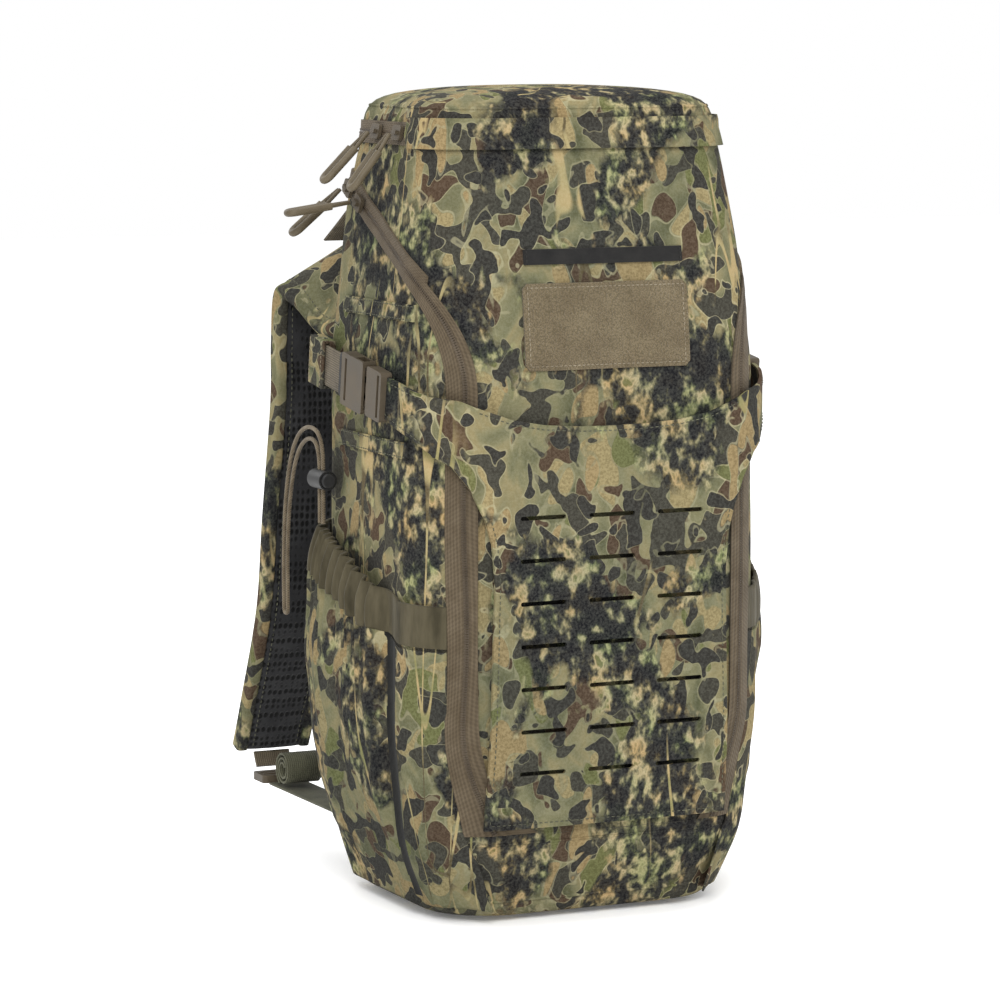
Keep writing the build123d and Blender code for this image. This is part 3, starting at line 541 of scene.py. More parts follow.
def beside(path, distance):
    """The path moved to its left by distance."""
    moved = []
    for i, point in enumerate(path):
        heading = (path[min(i + 1, len(path) - 1)] - path[max(i - 1, 0)]).normalized()
        moved.append(point + Vector((-heading.y, heading.x)) * distance)
    return moved


# The main zip's line in the YZ plane: up the front corner, over the shoulder, back to the harness
zip_line = rounded_path([(-84, 55), (-84, 372), (60, 440), (300, 440)], (80, 40), 14)
zip_front_side = beside(zip_line, 0.4)
zip_rear_side = beside(zip_line, -0.4)

lining_cloth = plain_cloth("lining_cloth", (0.135, 0.125, 0.098), (0.190, 0.178, 0.142), 0.0010, 0.3, 0.6)


def line_inside(obj):
    """The faces that look into the bag take the coated lining."""
    obj.data.materials.append(lining_cloth)
    for face in obj.data.polygons:
        if face.normal.dot(face.center - Vector((0, 0, 0.24))) < 0:
            face.material_index = 1


front_shell = cloth_layer("front_shell", 0, 2.6)
cut(front_shell, block("cutter", zip_front_side + [(300, 469.6), (-300, 469.6), (-300, 55.4)], "YZ"), "INTERSECT")
finish_piece(front_shell, camo, "front", ("front_panel", "crown_band"))
line_inside(front_shell)

rear_shell = cloth_layer("rear_shell", 0, 2.6)
behind_front = zip_rear_side + [(300, 600), (-300, 600), (-300, 54.6), (-84.4, 54.6)]
cut(rear_shell, block("cutter", behind_front, "YZ"), "DIFFERENCE")
finish_piece(
    rear_shell, camo, "root",
    ("base_panel", "front_sill", "side_panel_left", "side_panel_right", "back_panel"),
)
line_inside(rear_shell)

lid_shell = cloth_layer("lid_shell", 0, 2.6)
cut(lid_shell, block("cutter", [(-300, 470.4), (300, 470.4), (300, 600), (-300, 600)], "YZ"), "INTERSECT")
finish_piece(lid_shell, camo, "lid", ("top_lid",))
line_inside(lid_shell)


# Zips: woven tape with a nylon coil, sewn on flat. The main zip runs up both
# front corners and over to the harness; the top one closes the lid pocket.
def moulded_plastic(name, dark, light):
    """Injection-moulded nylon: fine spark-eroded grain and slightly rubbed faces."""
    p = Paint(name, specular=0.203)
    at = p.place()
    rubbed = p.noise(at, 55, 4, 0.6).outputs["Fac"]
    p.colour(p.ramp(rubbed, [(0.35, dark), (0.7, light)]))
    p.rough(p.step(rubbed, -0.6, 1.6))
    p.bump(p.noise(at, 1500, 2).outputs["Fac"], 0.18, 0.0003)
    return p.material


def zip_tape_cloth():
    """Herringbone tape; U is the distance from the coil and V runs along it, in metres."""
    p = Paint("zip_tape_cloth", roughness=0.8, sheen=0.06, specular=0.09)
    along = p.place(source="UV")
    ribs = p.node(
        "TexWave",
        {"Vector": along, "Scale": math.tau / 20 / 0.0011, "Distortion": 0.5},
        bands_direction="X",
    ).outputs["Fac"]
    twill = p.node(
        "TexWave",
        {"Vector": along, "Scale": math.tau / 20 / 0.0013, "Distortion": 0.3},
        bands_direction="DIAGONAL",
    ).outputs["Fac"]
    shade = p.noise(p.place(), 70, 3, 0.6).outputs["Fac"]
    colour = p.ramp(shade, [(0.3, (0.072, 0.054, 0.033)), (0.7, (0.108, 0.084, 0.055))])
    height = p.maths("ADD", ribs, p.maths("MULTIPLY", twill, 0.6))
    # Darker in the low parts of the ribs and twill: painted shade in the grooves of the tape.
    p.colour(p.mix(p.step(height, 0.3, 1.2), p.mix(0.4, colour, (0.02, 0.015, 0.01)), colour))
    p.bump(height, 0.5, 0.0004)
    return p.material


zip_cloth = zip_tape_cloth()
coil_nylon = moulded_plastic("coil_nylon", (0.045, 0.033, 0.021), (0.080, 0.061, 0.041))


def path_uv(obj, path):
    """UV in metres: U the distance from a YZ path, V how far along it."""
    points = np.array([(p[0], p[1]) for p in path])
    lengths = np.concatenate([[0], np.cumsum(np.hypot(*np.diff(points, axis=0).T))])
    layer = obj.data.uv_layers.new(name="UVMap")
    near = {}
    for vert in obj.data.vertices:
        at = np.array([vert.co.y / mm, vert.co.z / mm])
        starts, runs = points[:-1], np.diff(points, axis=0)
        share = np.clip(((at - starts) * runs).sum(1) / (runs**2).sum(1), 0, 1)
        gaps = np.hypot(*(starts + runs * share[:, None] - at).T)
        best = int(gaps.argmin())
        near[vert.index] = (gaps[best] * mm, (lengths[best] + share[best] * math.hypot(*runs[best])) * mm)
    for loop in obj.data.loops:
        layer.data[loop.index].uv = near[loop.vertex_index]


def tape_edge_at(z):
    """Half the width between the tapes' front edges, 7 mm round the corner from the zip's line."""
    y = float(np.interp(z, [p[1] for p in zip_line], [p[0] for p in zip_line]))
    radius, front = front_radius_at(z), front_at(z)
    turn = math.acos(min(1.0, max(-1.0, (radius - front - y) / radius))) - 7.5 / radius
    return half_width_at(z) - radius + radius * math.sin(max(0.0, turn))


# One band of cloth lies 1.6 mm proud all over the skin; tapes and patches are cut from copies of it
main_band = cloth_layer("main_band", 1.6, 1.5)


def band_copy(name):
    """A fresh copy of the band, to be cut to shape."""
    obj = bpy.data.objects.new(name, main_band.data.copy())
    bpy.context.collection.objects.link(obj)
    return obj


for name, body, node, near_side, far_side, drop_front in (
    ("main_zip_tape_front", "front", "main_zip_front", 0.5, 7.0, True),
    ("main_zip_tape_rear", "root", "main_zip_rear", -0.5, -6.6, False),
):
    tape = band_copy(name)
    band = beside(zip_line, near_side) + beside(zip_line, far_side)[::-1]
    band = [(y, max(z, 56.0)) for y, z in band]
    cut(tape, block("cutter", band, "YZ"), "INTERSECT")
    if drop_front:
        inner_edge = [(tape_edge_at(z), z) for z in range(0, 403, 6)]
        front_cloth = inner_edge + [(-x, z) for x, z in inner_edge[::-1]]
        cut(tape, block("cutter", front_cloth, "XZ", (-400, -60)), "DIFFERENCE")
    path_uv(tape, zip_line)
    finish_piece(tape, zip_cloth, body, (node,))

top_line = [(-400, 470), (300, 470)]
for name, body, node, low, high in (
    ("top_zip_tape_lower", "front", "top_zip_lower", 463.2, 469.5),
    ("top_zip_tape_upper", "lid", "top_zip_upper", 470.5, 476.8),
):
    tape = band_copy(name)
    cut(tape, block("cutter", [(-200, low), (52.6, low), (52.6, high), (-200, high)], "YZ"), "INTERSECT")
    path_uv(tape, top_line)
    finish_piece(tape, zip_cloth, body, (node,))


def onto(target, start, heading):
    """Where a ray meets a piece, and the surface's normal there."""
    hit, place, normal, index = target.ray_cast(Vector(start), Vector(heading))
    return (place, normal) if hit else (None, None)


def coil_teeth(name, places, body, half, pitch=1.5):
    """One tape's nylon coil along places on the cloth, (point, normal) pairs in metres; half is 1 or -1."""
    build = bmesh.new()
    runs = [(b[0] - a[0]).length for a, b in zip(places, places[1:])]
    total = sum(runs)
    count = int(total / (pitch * mm))
    run, left = 0, 0.0
    for i in range(count):
        distance = i * pitch * mm
        while run < len(runs) - 1 and distance - left > runs[run]:
            left += runs[run]
            run += 1
        share = min(1.0, (distance - left) / max(runs[run], 1e-9))
        point = places[run][0].lerp(places[run + 1][0], share)
        normal = places[run][1].lerp(places[run + 1][1], share).normalized()
        heading = (places[run + 1][0] - places[run][0]).normalized()
        across = heading.cross(normal).normalized()
        profile = ((0.05, 0.0), (0.05, 0.14), (0.9, 0.40), (1.4, 0.40), (1.7, 0.0))
        rows = []
        for sign in (-1, 1):
            rows.append(
                [
                    build.verts.new(point + across * half * a * mm + normal * h * mm + heading * sign * 0.5 * mm)
                    for a, h in profile
                ]
            )
        for a in range(4):
            build.faces.new((rows[0][a], rows[0][a + 1], rows[1][a + 1], rows[1][a]))
        for row in rows:
            build.faces.new(row)
        build.faces.new((rows[0][0], rows[1][0], rows[1][4], rows[0][4]))
    bmesh.ops.recalc_face_normals(build, faces=build.faces[:])
    return new_piece(name, build, coil_nylon, body, angle=30)


def along_sides(side, path, target):
    """Places on the cloth where a YZ path meets one side of the bag."""
    dense = []
    for a, b in zip(path, path[1:]):
        steps = max(1, int((Vector(b) - Vector(a)).length / 4))
        dense += [Vector(a).lerp(Vector(b), i / steps) for i in range(steps)]
    dense.append(Vector(path[-1]))
    places = []
    for y, z in dense:
        place, normal = onto(target, (side * 0.3, y * mm, z * mm), (-side, 0, 0))
        if place is not None:
            places.append((place, normal))
    return places


for hand, side in (("left", -1), ("right", 1)):
    rise = [p for p in zip_line if p[0] < 75]
    rise = rise + [Vector((75, 440))]
    rise[0] = Vector((-84, 57))
    for part, body, half in (("front", "front", -side), ("rear", "root", side)):
        coil_teeth(f"main_zip_coil_{part}_{hand}", along_sides(side, rise, main_band), body, half)
    for part, body, half in (("lower", "front", -side), ("upper", "lid", side)):
        top_run = along_sides(side, [(51, 470), (-48, 470)], main_band)
        coil_teeth(f"top_zip_coil_{part}_{hand}", top_run, body, half)
front_run = []
for x in range(-74, 75, 4):
    place, normal = onto(main_band, (x * mm, -0.3, 0.470), (0, 1, 0))
    front_run.append((place, normal))
coil_teeth("top_zip_coil_lower_front", front_run, "front", 1)
coil_teeth("top_zip_coil_upper_front", front_run, "lid", -1)


# Stitching: lockstitch in polyester thread, laid as small beads just proud of the
# cloth, and the paths on the bag that its rows follow.
def laid_rows(rows, thread, name, body, pitch=3.4, length=2.4):
    """Lockstitch: small thread beads laid end to end along rows of (point, normal) places."""
    lift, radius = 0.25, 0.32
    build = bmesh.new()
    for places in rows:
        lengths = [(b[0] - a[0]).length / mm for a, b in zip(places, places[1:])]
        marks = np.concatenate([[0], np.cumsum(lengths)])
        spots = np.arange(pitch / 2, marks[-1], pitch)
        for spot in spots:
            i = min(int(np.searchsorted(marks, spot, "right")) - 1, len(lengths) - 1)
            share = (spot - marks[i]) / max(lengths[i], 1e-6)
            point = places[i][0].lerp(places[i + 1][0], share)
            normal = places[i][1].lerp(places[i + 1][1], share).normalized()
            heading = (places[i + 1][0] - places[i][0]).normalized()
            across = heading.cross(normal).normalized()
            centre = point + normal * lift * mm
            ends = [build.verts.new(centre + heading * s * length / 2 * mm - normal * lift * mm) for s in (-1, 1)]
            ring_verts = []
            for s in (-0.55, 0.55):
                ring_verts.append(
                    [
                        build.verts.new(
                            centre
                            + heading * s * length / 2 * mm
                            + (across * math.cos(a) + normal * math.sin(a)) * radius * mm
                        )
                        for a in (0, math.tau / 4, math.tau / 2, math.tau * 3 / 4)
                    ]
                )
            for a in range(4):
                b = (a + 1) % 4
                build.faces.new((ring_verts[0][a], ring_verts[0][b], ring_verts[1][b], ring_verts[1][a]))
                build.faces.new((ring_verts[0][b], ring_verts[0][a], ends[0]))
                build.faces.new((ring_verts[1][a], ring_verts[1][b], ends[1]))
    bmesh.ops.recalc_face_normals(build, faces=build.faces[:])
    return new_piece(name, build, thread, body, angle=60)


def on_front(target, outline, closed=True):
    """An XZ outline, in mm, dropped onto a piece from the front."""
    corners = [Vector(p) for p in outline] + ([Vector(outline[0])] if closed else [])
    places = []
    for a, b in zip(corners, corners[1:]):
        steps = max(1, int((b - a).length / 4))
        for i in range(steps):
            x, z = a.lerp(b, i / steps)
            place, normal = onto(target, (x * mm, -0.3, z * mm), (0, 1, 0))
            if place is not None:
                places.append((place, normal))
    x, z = corners[-1]
    place, normal = onto(target, (x * mm, -0.3, z * mm), (0, 1, 0))
    if place is not None:
        places.append((place, normal))
    return places


thread_tan = plain_cloth("thread_tan", (0.17, 0.14, 0.095), (0.28, 0.24, 0.17), 0.0006, 0.2)
thread_dark = plain_cloth("thread_dark", (0.05, 0.05, 0.035), (0.12, 0.12, 0.08), 0.0006, 0.2)


# Loop patch: 108 by 51 mm of loop pile sewn on with a box of stitches. Below
# the crown a plain black woven tab is sewn across, left without any wording.
def loop_cloth():
    """Knitted loop pile: tiny curls, their tips lighter through painted shade between them."""
    p = Paint("loop_cloth", roughness=0.95, sheen=0.15, specular=0.045)
    at = p.place()
    curls = p.node("TexVoronoi", {"Vector": at, "Scale": 950.0}).outputs["Distance"]
    fuzz = p.noise(at, 1400, 3, 0.7).outputs["Fac"]
    patchy = p.noise(at, 60, 4, 0.6).outputs["Fac"]
    base = p.ramp(patchy, [(0.3, (0.125, 0.096, 0.056)), (0.7, (0.180, 0.143, 0.086))])
    # Darker between the curls: painted shade among the loops.
    p.colour(p.mix(p.step(curls, 0.25, 0.75), base, p.mix(0.55, base, (0.05, 0.04, 0.02))))
    p.bump(p.maths("ADD", curls, fuzz), 0.9, 0.0009)
    return p.material


patch_rim = [(-51, 335), (51, 335), (51, 381), (-51, 381)]
corner = 3.0
patch_outline = [
    (-54 + corner, 332.5), (54 - corner, 332.5), (54, 332.5 + corner), (54, 383.5 - corner),
    (54 - corner, 383.5), (-54 + corner, 383.5), (-54, 383.5 - corner), (-54, 332.5 + corner),
]
patch = band_copy("loop_patch_pile")
cut(patch, block("cutter", patch_outline, "XZ", (-400, -20)), "INTERSECT")
finish_piece(patch, loop_cloth(), "front", ("loop_patch",))
laid_rows([on_front(patch, patch_rim)], thread_tan, "loop_patch_stitches", "front", pitch=3.0, length=2.2)

tab = band_copy("woven_tab_tape")
tab_outline = [(-52, 394.5), (52, 394.5), (52, 403.5), (-52, 403.5)]
cut(tab, block("cutter", tab_outline, "XZ", (-400, -20)), "INTERSECT")
tab_cloth = plain_cloth("tab_cloth", (0.010, 0.010, 0.010), (0.020, 0.019, 0.018), 0.0008, 0.5)
finish_piece(tab, tab_cloth, "front", ("woven_tab",))
thread_black = plain_cloth("thread_black", (0.012, 0.012, 0.012), (0.035, 0.035, 0.03), 0.0006, 0.2)
ends_of_tab = [on_front(tab, [(side * 50.6, 395.5), (side * 50.6, 402.5)], closed=False) for side in (-1, 1)]
laid_rows(ends_of_tab, thread_black, "woven_tab_stitches", "front", pitch=2.6, length=1.9)

# Flat bands of folded camo tape across each side, above and below the buckle
for number, (low, high) in enumerate(((361, 371), (280, 290))):
    band_piece = band_copy(f"side_band_{number + 1}")
    cut(band_piece, block("cutter", [(-55, low), (44, low), (44, high), (-55, high)], "YZ"), "INTERSECT")
    finish_piece(band_piece, camo, "root", ("side_bands",))
    rows = []
    for side in (-1, 1):
        rows.append(along_sides(side, [(-54, high - 1.2), (43, high - 1.2)], band_piece))
        rows.append(along_sides(side, [(-54, low + 1.2), (43, low + 1.2)], band_piece))
    laid_rows(rows, thread_dark, f"side_band_{number + 1}_stitches", "root")


# Stash flap: two plies of coated nylon bonded to 2.2 mm, laser cut with three
# columns of seven slots. Its wings run round the sides to the buckles.
flap_edge = [
    (0, 60.4), (80, 60.4), (79, 110), (77, 175), (76, 209), (78, 232), (82, 246), (90, 264),
    (100, 278), (108, 283), (400, 284), (400, 350), (120, 334), (105, 321), (88, 313), (66, 305),
    (44, 301), (22, 299.4), (0, 299),
]
flap_outline = flap_edge + [(-x, z) for x, z in flap_edge[-2:0:-1]]
wing_outline = [
    (-400, 59.4), (-84, 59.4), (-84, 271), (-76, 285), (-66, 293), (-52, 299), (-39.95, 303.2),
    (-43.4, 327.9), (-56, 325), (-72, 319), (-93, 315), (-400, 315),
]
flap = cloth_layer("stash_flap_sheet", 7.2, 2.2)
cut(flap, block("cutter", flap_outline, "XZ"), "INTERSECT")
cut(flap, block("cutter", wing_outline, "YZ"), "INTERSECT")
slots = bmesh.new()
for column in (-45, 0, 45):
    for row in range(7):
        height = 94 + 25.4 * row
        outline = []
        for end, sign in ((column + 13.7, 1), (column - 13.7, -1)):
            for k in range(7):
                angle = (k / 6 - 0.5) * math.pi
                outline.append((end + sign * 1.3 * math.cos(angle), height + sign * 1.3 * math.sin(angle)))
        rims = [[slots.verts.new((x * mm, y * mm, z * mm)) for x, z in outline] for y in (-120, -60)]
        prism(slots, rims)
bmesh.ops.recalc_face_normals(slots, faces=slots.faces[:])
cut(flap, made_object("slots", slots), "DIFFERENCE")
finish_piece(flap, camo, "flap", ("stash_flap",), angle=30)

# Stitching 3 mm in from the edges of the flap and its wings
hem_rows = [
    on_front(flap, [(77, 63.5), (76, 110), (74, 175), (73, 209), (75, 232), (79, 247)], closed=False),
    on_front(flap, [(-77, 63.5), (-76, 110), (-74, 175), (-73, 209), (-75, 232), (-79, 247)], closed=False),
    on_front(flap, [(-77, 63.5), (77, 63.5)], closed=False),
    on_front(flap, [(-86, 309.6), (-66, 302.2), (-44, 298.2), (-22, 296.6), (0, 296.2), (22, 296.6),
                    (44, 298.2), (66, 302.2), (86, 309.6)], closed=False),
]
for side in (-1, 1):
    hem_rows.append(along_sides(side, [(-72, 316.5), (-56, 322.4), (-44, 325)], flap))
    hem_rows.append(along_sides(side, [(-74, 289), (-64, 296.5), (-52, 302), (-41, 306)], flap))
laid_rows(hem_rows, thread_dark, "stash_flap_stitches", "flap")


# Seams: a fine rolled edge of camo where two panels of the skin meet
def rolled_seam(name, places, radius, body):
    """A thin cord of folded camo cloth along (point, normal) places."""
    sides = 6
    build = bmesh.new()
    rings = []
    for i, (point, normal) in enumerate(places):
        heading = (places[min(i + 1, len(places) - 1)][0] - places[max(i - 1, 0)][0]).normalized()
        across = heading.cross(normal).normalized()
        rings.append(
            [
                build.verts.new(point + (across * math.cos(a) + normal * (math.sin(a) - 0.2)) * radius * mm)
                for a in np.arange(sides) * math.tau / sides
            ]
        )
    for first, second in zip(rings, rings[1:]):
        for i in range(sides):
            j = (i + 1) % sides
            build.faces.new((first[i], first[j], second[j], second[i]))
    build.faces.new(rings[0][::-1])
    build.faces.new(rings[-1])
    bmesh.ops.recalc_face_normals(build, faces=build.faces[:])
    return new_piece(name, build, camo, body, angle=80)


def around(target, z):
    """Places all round a piece at one height."""
    places = []
    for k in range(181):
        angle = math.tau * k / 180
        heading = Vector((math.cos(angle), math.sin(angle), 0))
        start = Vector((0, 0, z * mm)) + heading * 0.3
        place, normal = onto(target, start, -heading)
        if place is not None:
            places.append((place, normal))
    return places


rolled_seam("lid_crown_seam", around(lid_shell, 485.5), 1.1, "lid")
rolled_seam("base_seam", around(rear_shell, 13), 1.2, "root")
rolled_seam("front_foot_seam", on_front(rear_shell, [(-84, 50), (84, 50)], closed=False), 0.9, "root")

# Storm flap: a camo strip on the lid that hides the top zip round the front
storm = cloth_layer("storm_flap", 3.4, 1.2)
cut(storm, block("cutter", [(-300, 461.8), (-29, 461.8), (-23, 470), (-26, 480), (-300, 480)], "YZ"), "INTERSECT")
finish_piece(storm, camo, "lid")


# Side pockets: a pouch of camo cloth gathered into a 27 mm band of olive
# stretch cloth. The left one has a deep pleat near its front, with painted shadow down its fold
# as a near-black strip; the right one is full, so its pleat is nearly flat.
def pocket_hem_cloth():
    """Smooth stretch cloth, puckered by the elastic inside."""
    p = Paint("pocket_hem_cloth", roughness=0.7, sheen=0.045, specular=0.135)
    at = p.place()
    shade = p.noise(p.place((1, 1, 0.25)), 110, 3, 0.6).outputs["Fac"]
    olives = [(0.3, (0.030, 0.025, 0.013)), (0.55, (0.058, 0.049, 0.028)), (0.8, (0.086, 0.073, 0.044))]
    p.colour(p.ramp(shade, olives))
    p.bump(p.noise(p.place((1, 1, 0.18)), 230, 2).outputs["Fac"], 0.5, 0.0012)
    weave(p, at, 0.0009, 0.15)
    return p.material


hem_cloth = pocket_hem_cloth()
# A near-black cloth for the left pocket's pleat: painted shadow down the fold.
pleat_shadow_cloth = plain_cloth("pleat_shadow_cloth", (0.006, 0.006, 0.006), (0.014, 0.014, 0.013), 0.0009, 0.3)
pocket_reach = 137.0
pocket_plans = {
    "left": (
        [-79, -66, -50, -34, -24, 0, 30, 50, 66, 76, 83.5],
        [97, 107, 119, 127, 130, 134, pocket_reach, 135.5, 131.5, 122, 106],
    ),
    "right": (
        [-79, -66, -50, -38, -24, 0, 30, 50, 66, 76, 83.5],
        [97, 109, 124, 134, 136, pocket_reach, pocket_reach, 135.5, 131.5, 122, 106],
    ),
}


def pocket_side(y, z, hand):
    """How far out a full pocket stands, at this depth and height."""
    belly = np.interp(z, [8, 25, 45, 75, 105, 150, 195, 232], [101, 109, 118.5, 128, 133, 136.6, 133.5, 124])
    return float(belly) * float(np.interp(y, *pocket_plans[hand])) / pocket_reach


def side_of_bag(y, z):
    """How far out the bag's own side is, at this depth and height."""
    half = half_width_at(z)
    back_radius, back_reach = 28, 84
    radius = front_radius_at(z) if y < 0 else back_radius
    centre = radius - front_at(z) if y < 0 else back_reach - radius
    past = centre - y if y < 0 else y - centre
    if past <= 0:
        return half
    return half - radius + math.sqrt(max(0.0, radius ** 2 - past ** 2))


def mouth_height(y):
    """How high the mouth stands; it slopes down toward the front."""
    return float(np.interp(y, [-80, -50, -20, 10, 46, 84], [194, 195, 204, 215.5, 226.5, 231]))


def pleat_line(z):
    """The pleat wanders a little as it runs down."""
    return pleat_y + 1.5 * math.sin(z / 38)


pleat_y = -38.0
hem_height, foot_height = 27, 9
pocket_front, pocket_length = -78, 161
rows_up, hem_rows_up, rows_along = 96, 14, 200
for hand, side in (("left", -1), ("right", 1)):
    for part in ("pouch", "hem"):
        build = bmesh.new()
        grid = []
        for i in range(rows_along + 1):
            y = pocket_front + pocket_length * i / rows_along
            top = mouth_height(y)
            column_verts = []
            count = rows_up if part == "pouch" else hem_rows_up
            for j in range(count + 1):
                if part == "pouch":
                    z = foot_height + (top - hem_height + 2 - foot_height) * j / count
                else:
                    z = top - hem_height + hem_height * j / count
                x = pocket_side(y, z, hand)
                below = max(0.0, top - hem_height - z)
                # Gathers under the band fade out over 70 mm; the band itself puckers finely
                phase = y / 6.1 + 1.7 * noise.noise(Vector((y / 14, side * 3.0, 0.5)))
                calm_front = min(1.0, max(0.15, (y + 34) / 22))
                gather = math.sin(phase * math.tau / 1.35) * 1.6 * math.exp(-below / 34) * calm_front
                ripple = 5 * noise.noise(Vector((y / 16, 7.7, side)))
                pucker = math.sin(y / 6.5 * math.tau / 1.3 + ripple) * 1.5 * calm_front
                slack = 3.2 * noise.noise(Vector((y / 30, z / 46, side * 5.0)))
                crease = 1.6 * noise.noise(Vector((y / 11, z / 60 + 4, side * 2.0)))
                pleat = 24.0 * math.exp(-(((y - pleat_line(z)) / (4.0 + z / 45)) ** 2))
                pleat *= 1.0 if side < 0 else 0.12
                lip = 5.0 * math.exp(-(((y - pleat_y - 12.0) / 5.0) ** 2))
                if part == "pouch":
                    calm = min(1.0, max(0.0, (z - 12) / 30))
                    x += (gather + slack + crease + lip * 0.5 - pleat * min(1, below / 12 + 0.35)) * calm - 1.0
                else:
                    roll = 1.3 * math.sin(math.pi * j / count)
                    x += 1.9 * pucker + roll + 0.5 * slack - 0.55 * pleat + 0.6
                # The pouch is sewn to the bag at its front and back edges and at the base
                edge = min(1.0, (y - pocket_front) / 9, (pocket_front + pocket_length - y) / 7)
                clear_of_pleat = 1 - math.exp(-(((y - pleat_y) / 8.0) ** 2))
                x = max(x, side_of_bag(y, z) + 0.6 + 2.6 * max(0.0, edge) * clear_of_pleat)
                column_verts.append(build.verts.new((side * x * mm, y * mm, z * mm)))
            grid.append(column_verts)
        for i in range(rows_along):
            for j in range(len(grid[0]) - 1):
                build.faces.new((grid[i][j], grid[i + 1][j], grid[i + 1][j + 1], grid[i][j + 1]))
        if side < 0:
            bmesh.ops.reverse_faces(build, faces=build.faces[:])
        name = f"pocket_{part}_{hand}"
        node = f"side_pocket_{hand}" if part == "pouch" else f"pocket_hem_{hand}"
        piece = new_piece(name, build, camo if part == "pouch" else hem_cloth, "root", (node,), angle=70)
        # Faces down the left pleat take the near-black cloth: painted shadow in the fold.
        if part == "pouch" and side < 0:
            piece.data.materials.append(pleat_shadow_cloth)
            for face in piece.data.polygons:
                y, z = face.center.y / mm, face.center.z / mm
                if z > 14 and abs(y - pleat_line(z)) < 3.2 + z / 48:
                    face.material_index = 1
        apply_modifier(piece, "SOLIDIFY", thickness=(1.2 if part == "pouch" else 2.0) * mm, offset=-1)


# Shoulder straps: 10 mm foam between black spacer mesh, which faces the wearer,
# and a camo cover, bound all round with folded camo tape.
def spacer_mesh_cloth():
    """Air mesh: a black knit with rows of small round holes."""
    p = Paint("spacer_mesh_cloth", roughness=0.75, sheen=0.075, specular=0.135)
    at = p.place((1.0, 1.0, 0.72))
    holes = p.node("TexVoronoi", {"Vector": at, "Scale": 270.0, "Randomness": 0.18}).outputs["Distance"]
    knit = p.step(holes, 0.30, 0.52)
    shade = p.noise(p.place(), 40, 3, 0.6).outputs["Fac"]
    base = p.ramp(shade, [(0.3, (0.014, 0.014, 0.015)), (0.7, (0.030, 0.030, 0.031))])
    # The holes are painted near black: painted shade inside the mesh.
    p.colour(p.mix(knit, (0.002, 0.002, 0.002), base))
    p.bump(knit, 0.9, 0.0011)
    p.bump(p.noise(p.place(), 1300, 2).outputs["Fac"], 0.3, 0.0003)
    return p.material


air_mesh = spacer_mesh_cloth()
strap_edges = [
    ((-90, 88, 344), (-38, 88, 398)),
    ((-98, 117, 342), (-42, 117, 402)),
    ((-105, 146, 360), (-45, 146, 404)),
    ((-109, 161, 362), (-45, 167, 388)),
    ((-110, 164, 330), (-45, 173, 337)),
    ((-112, 161, 294), (-48, 168, 294)),
    ((-116, 167, 220), (-54, 170, 220)),
    ((-117, 176, 160), (-62, 176, 160)),
    ((-118, 201, 98), (-68, 201, 98)),
    ((-119, 214, 66), (-70, 214, 66)),
]


def through(points, t):
    """A smooth curve through points, t from 0 to 1."""
    spans = len(points) - 1
    i = min(int(t * spans), spans - 1)
    s = t * spans - i
    p0, p1, p2, p3 = (Vector(points[max(0, min(spans, i + k))]) for k in (-1, 0, 1, 2))
    return 0.5 * (2 * p1 + (p2 - p0) * s + (2 * p0 - 5 * p1 + 4 * p2 - p3) * s * s + (3 * p1 - p0 - 3 * p2 + p3) * s**3)


def strap_frame(side, t):
    """A strap's middle, its direction across and its outward direction, at t from top to bottom."""
    outer = [(-side * o[0][0], o[0][1], o[0][2]) for o in strap_edges]
    inner = [(-side * o[1][0], o[1][1], o[1][2]) for o in strap_edges]
    a, b = through(outer, t), through(inner, t)
    ahead = (through(outer, min(1, t + 0.02)) + through(inner, min(1, t + 0.02))) / 2
    behind = (through(outer, max(0, t - 0.02)) + through(inner, max(0, t - 0.02))) / 2
    across = (a - b).normalized()
    outward = across.cross(ahead - behind).normalized() * (1 if side < 0 else -1)
    return (a + b) / 2, across, -outward, (a - b).length


def strap_loft(name, side, outline, material, nodes=()):
    """A skin lofted along a strap; outline gives (across, outward) in mm for the strap's width."""
    steps = 90
    build = bmesh.new()
    uv = build.loops.layers.uv.new("UVMap")
    rings, marks = [], []
    travelled, last = 0.0, None
    for k in range(steps + 1):
        middle, across, outward, width = strap_frame(side, k / steps)
        travelled += (middle - last).length if last is not None else 0.0
        last = middle
        points = outline(width)
        rings.append([build.verts.new((middle + across * a + outward * o) * mm) for a, o in points])
        marks.append((travelled, [a for a, o in points]))
    count = len(rings[0])
    for k in range(steps):
        for i in range(count):
            j = (i + 1) % count
            face = build.faces.new((rings[k][i], rings[k][j], rings[k + 1][j], rings[k + 1][i]))
            corners = ((k, i), (k, j), (k + 1, j), (k + 1, i))
            for loop, (row, col) in zip(face.loops, corners):
                loop[uv].uv = (marks[row][1][col] * mm, marks[row][0] * mm)
    build.faces.new(rings[0][::-1])
    build.faces.new(rings[-1])
    bmesh.ops.recalc_face_normals(build, faces=build.faces[:])
    return new_piece(name, build, material, "root", nodes, angle=55)


def pad_outline(width):
    """A full foam section: crowned faces and round edges."""
    half = width / 2 - 1.5
    points = []
    for k in range(28):
        angle = math.tau * k / 28
        c, s = math.cos(angle), math.sin(angle)
        across = math.copysign(abs(c) ** 0.45, c) * half
        thick = 4.4 * math.copysign(abs(s) ** 0.6, s) * (1 + 0.10 * math.cos(across / half * 2.0))
        points.append((across, thick))
    return points


def cover_outline(width):
    """The camo cover: a thin sheet on the outward face."""
    half = width / 2 - 2.0
    above = [(half * k / 8, 5.6 - 0.9 * abs(k / 8) ** 6) for k in range(-8, 9)]
    below = [(half * k / 8, 3.2 - 0.9 * abs(k / 8) ** 6) for k in range(8, -9, -1)]
    return above + below


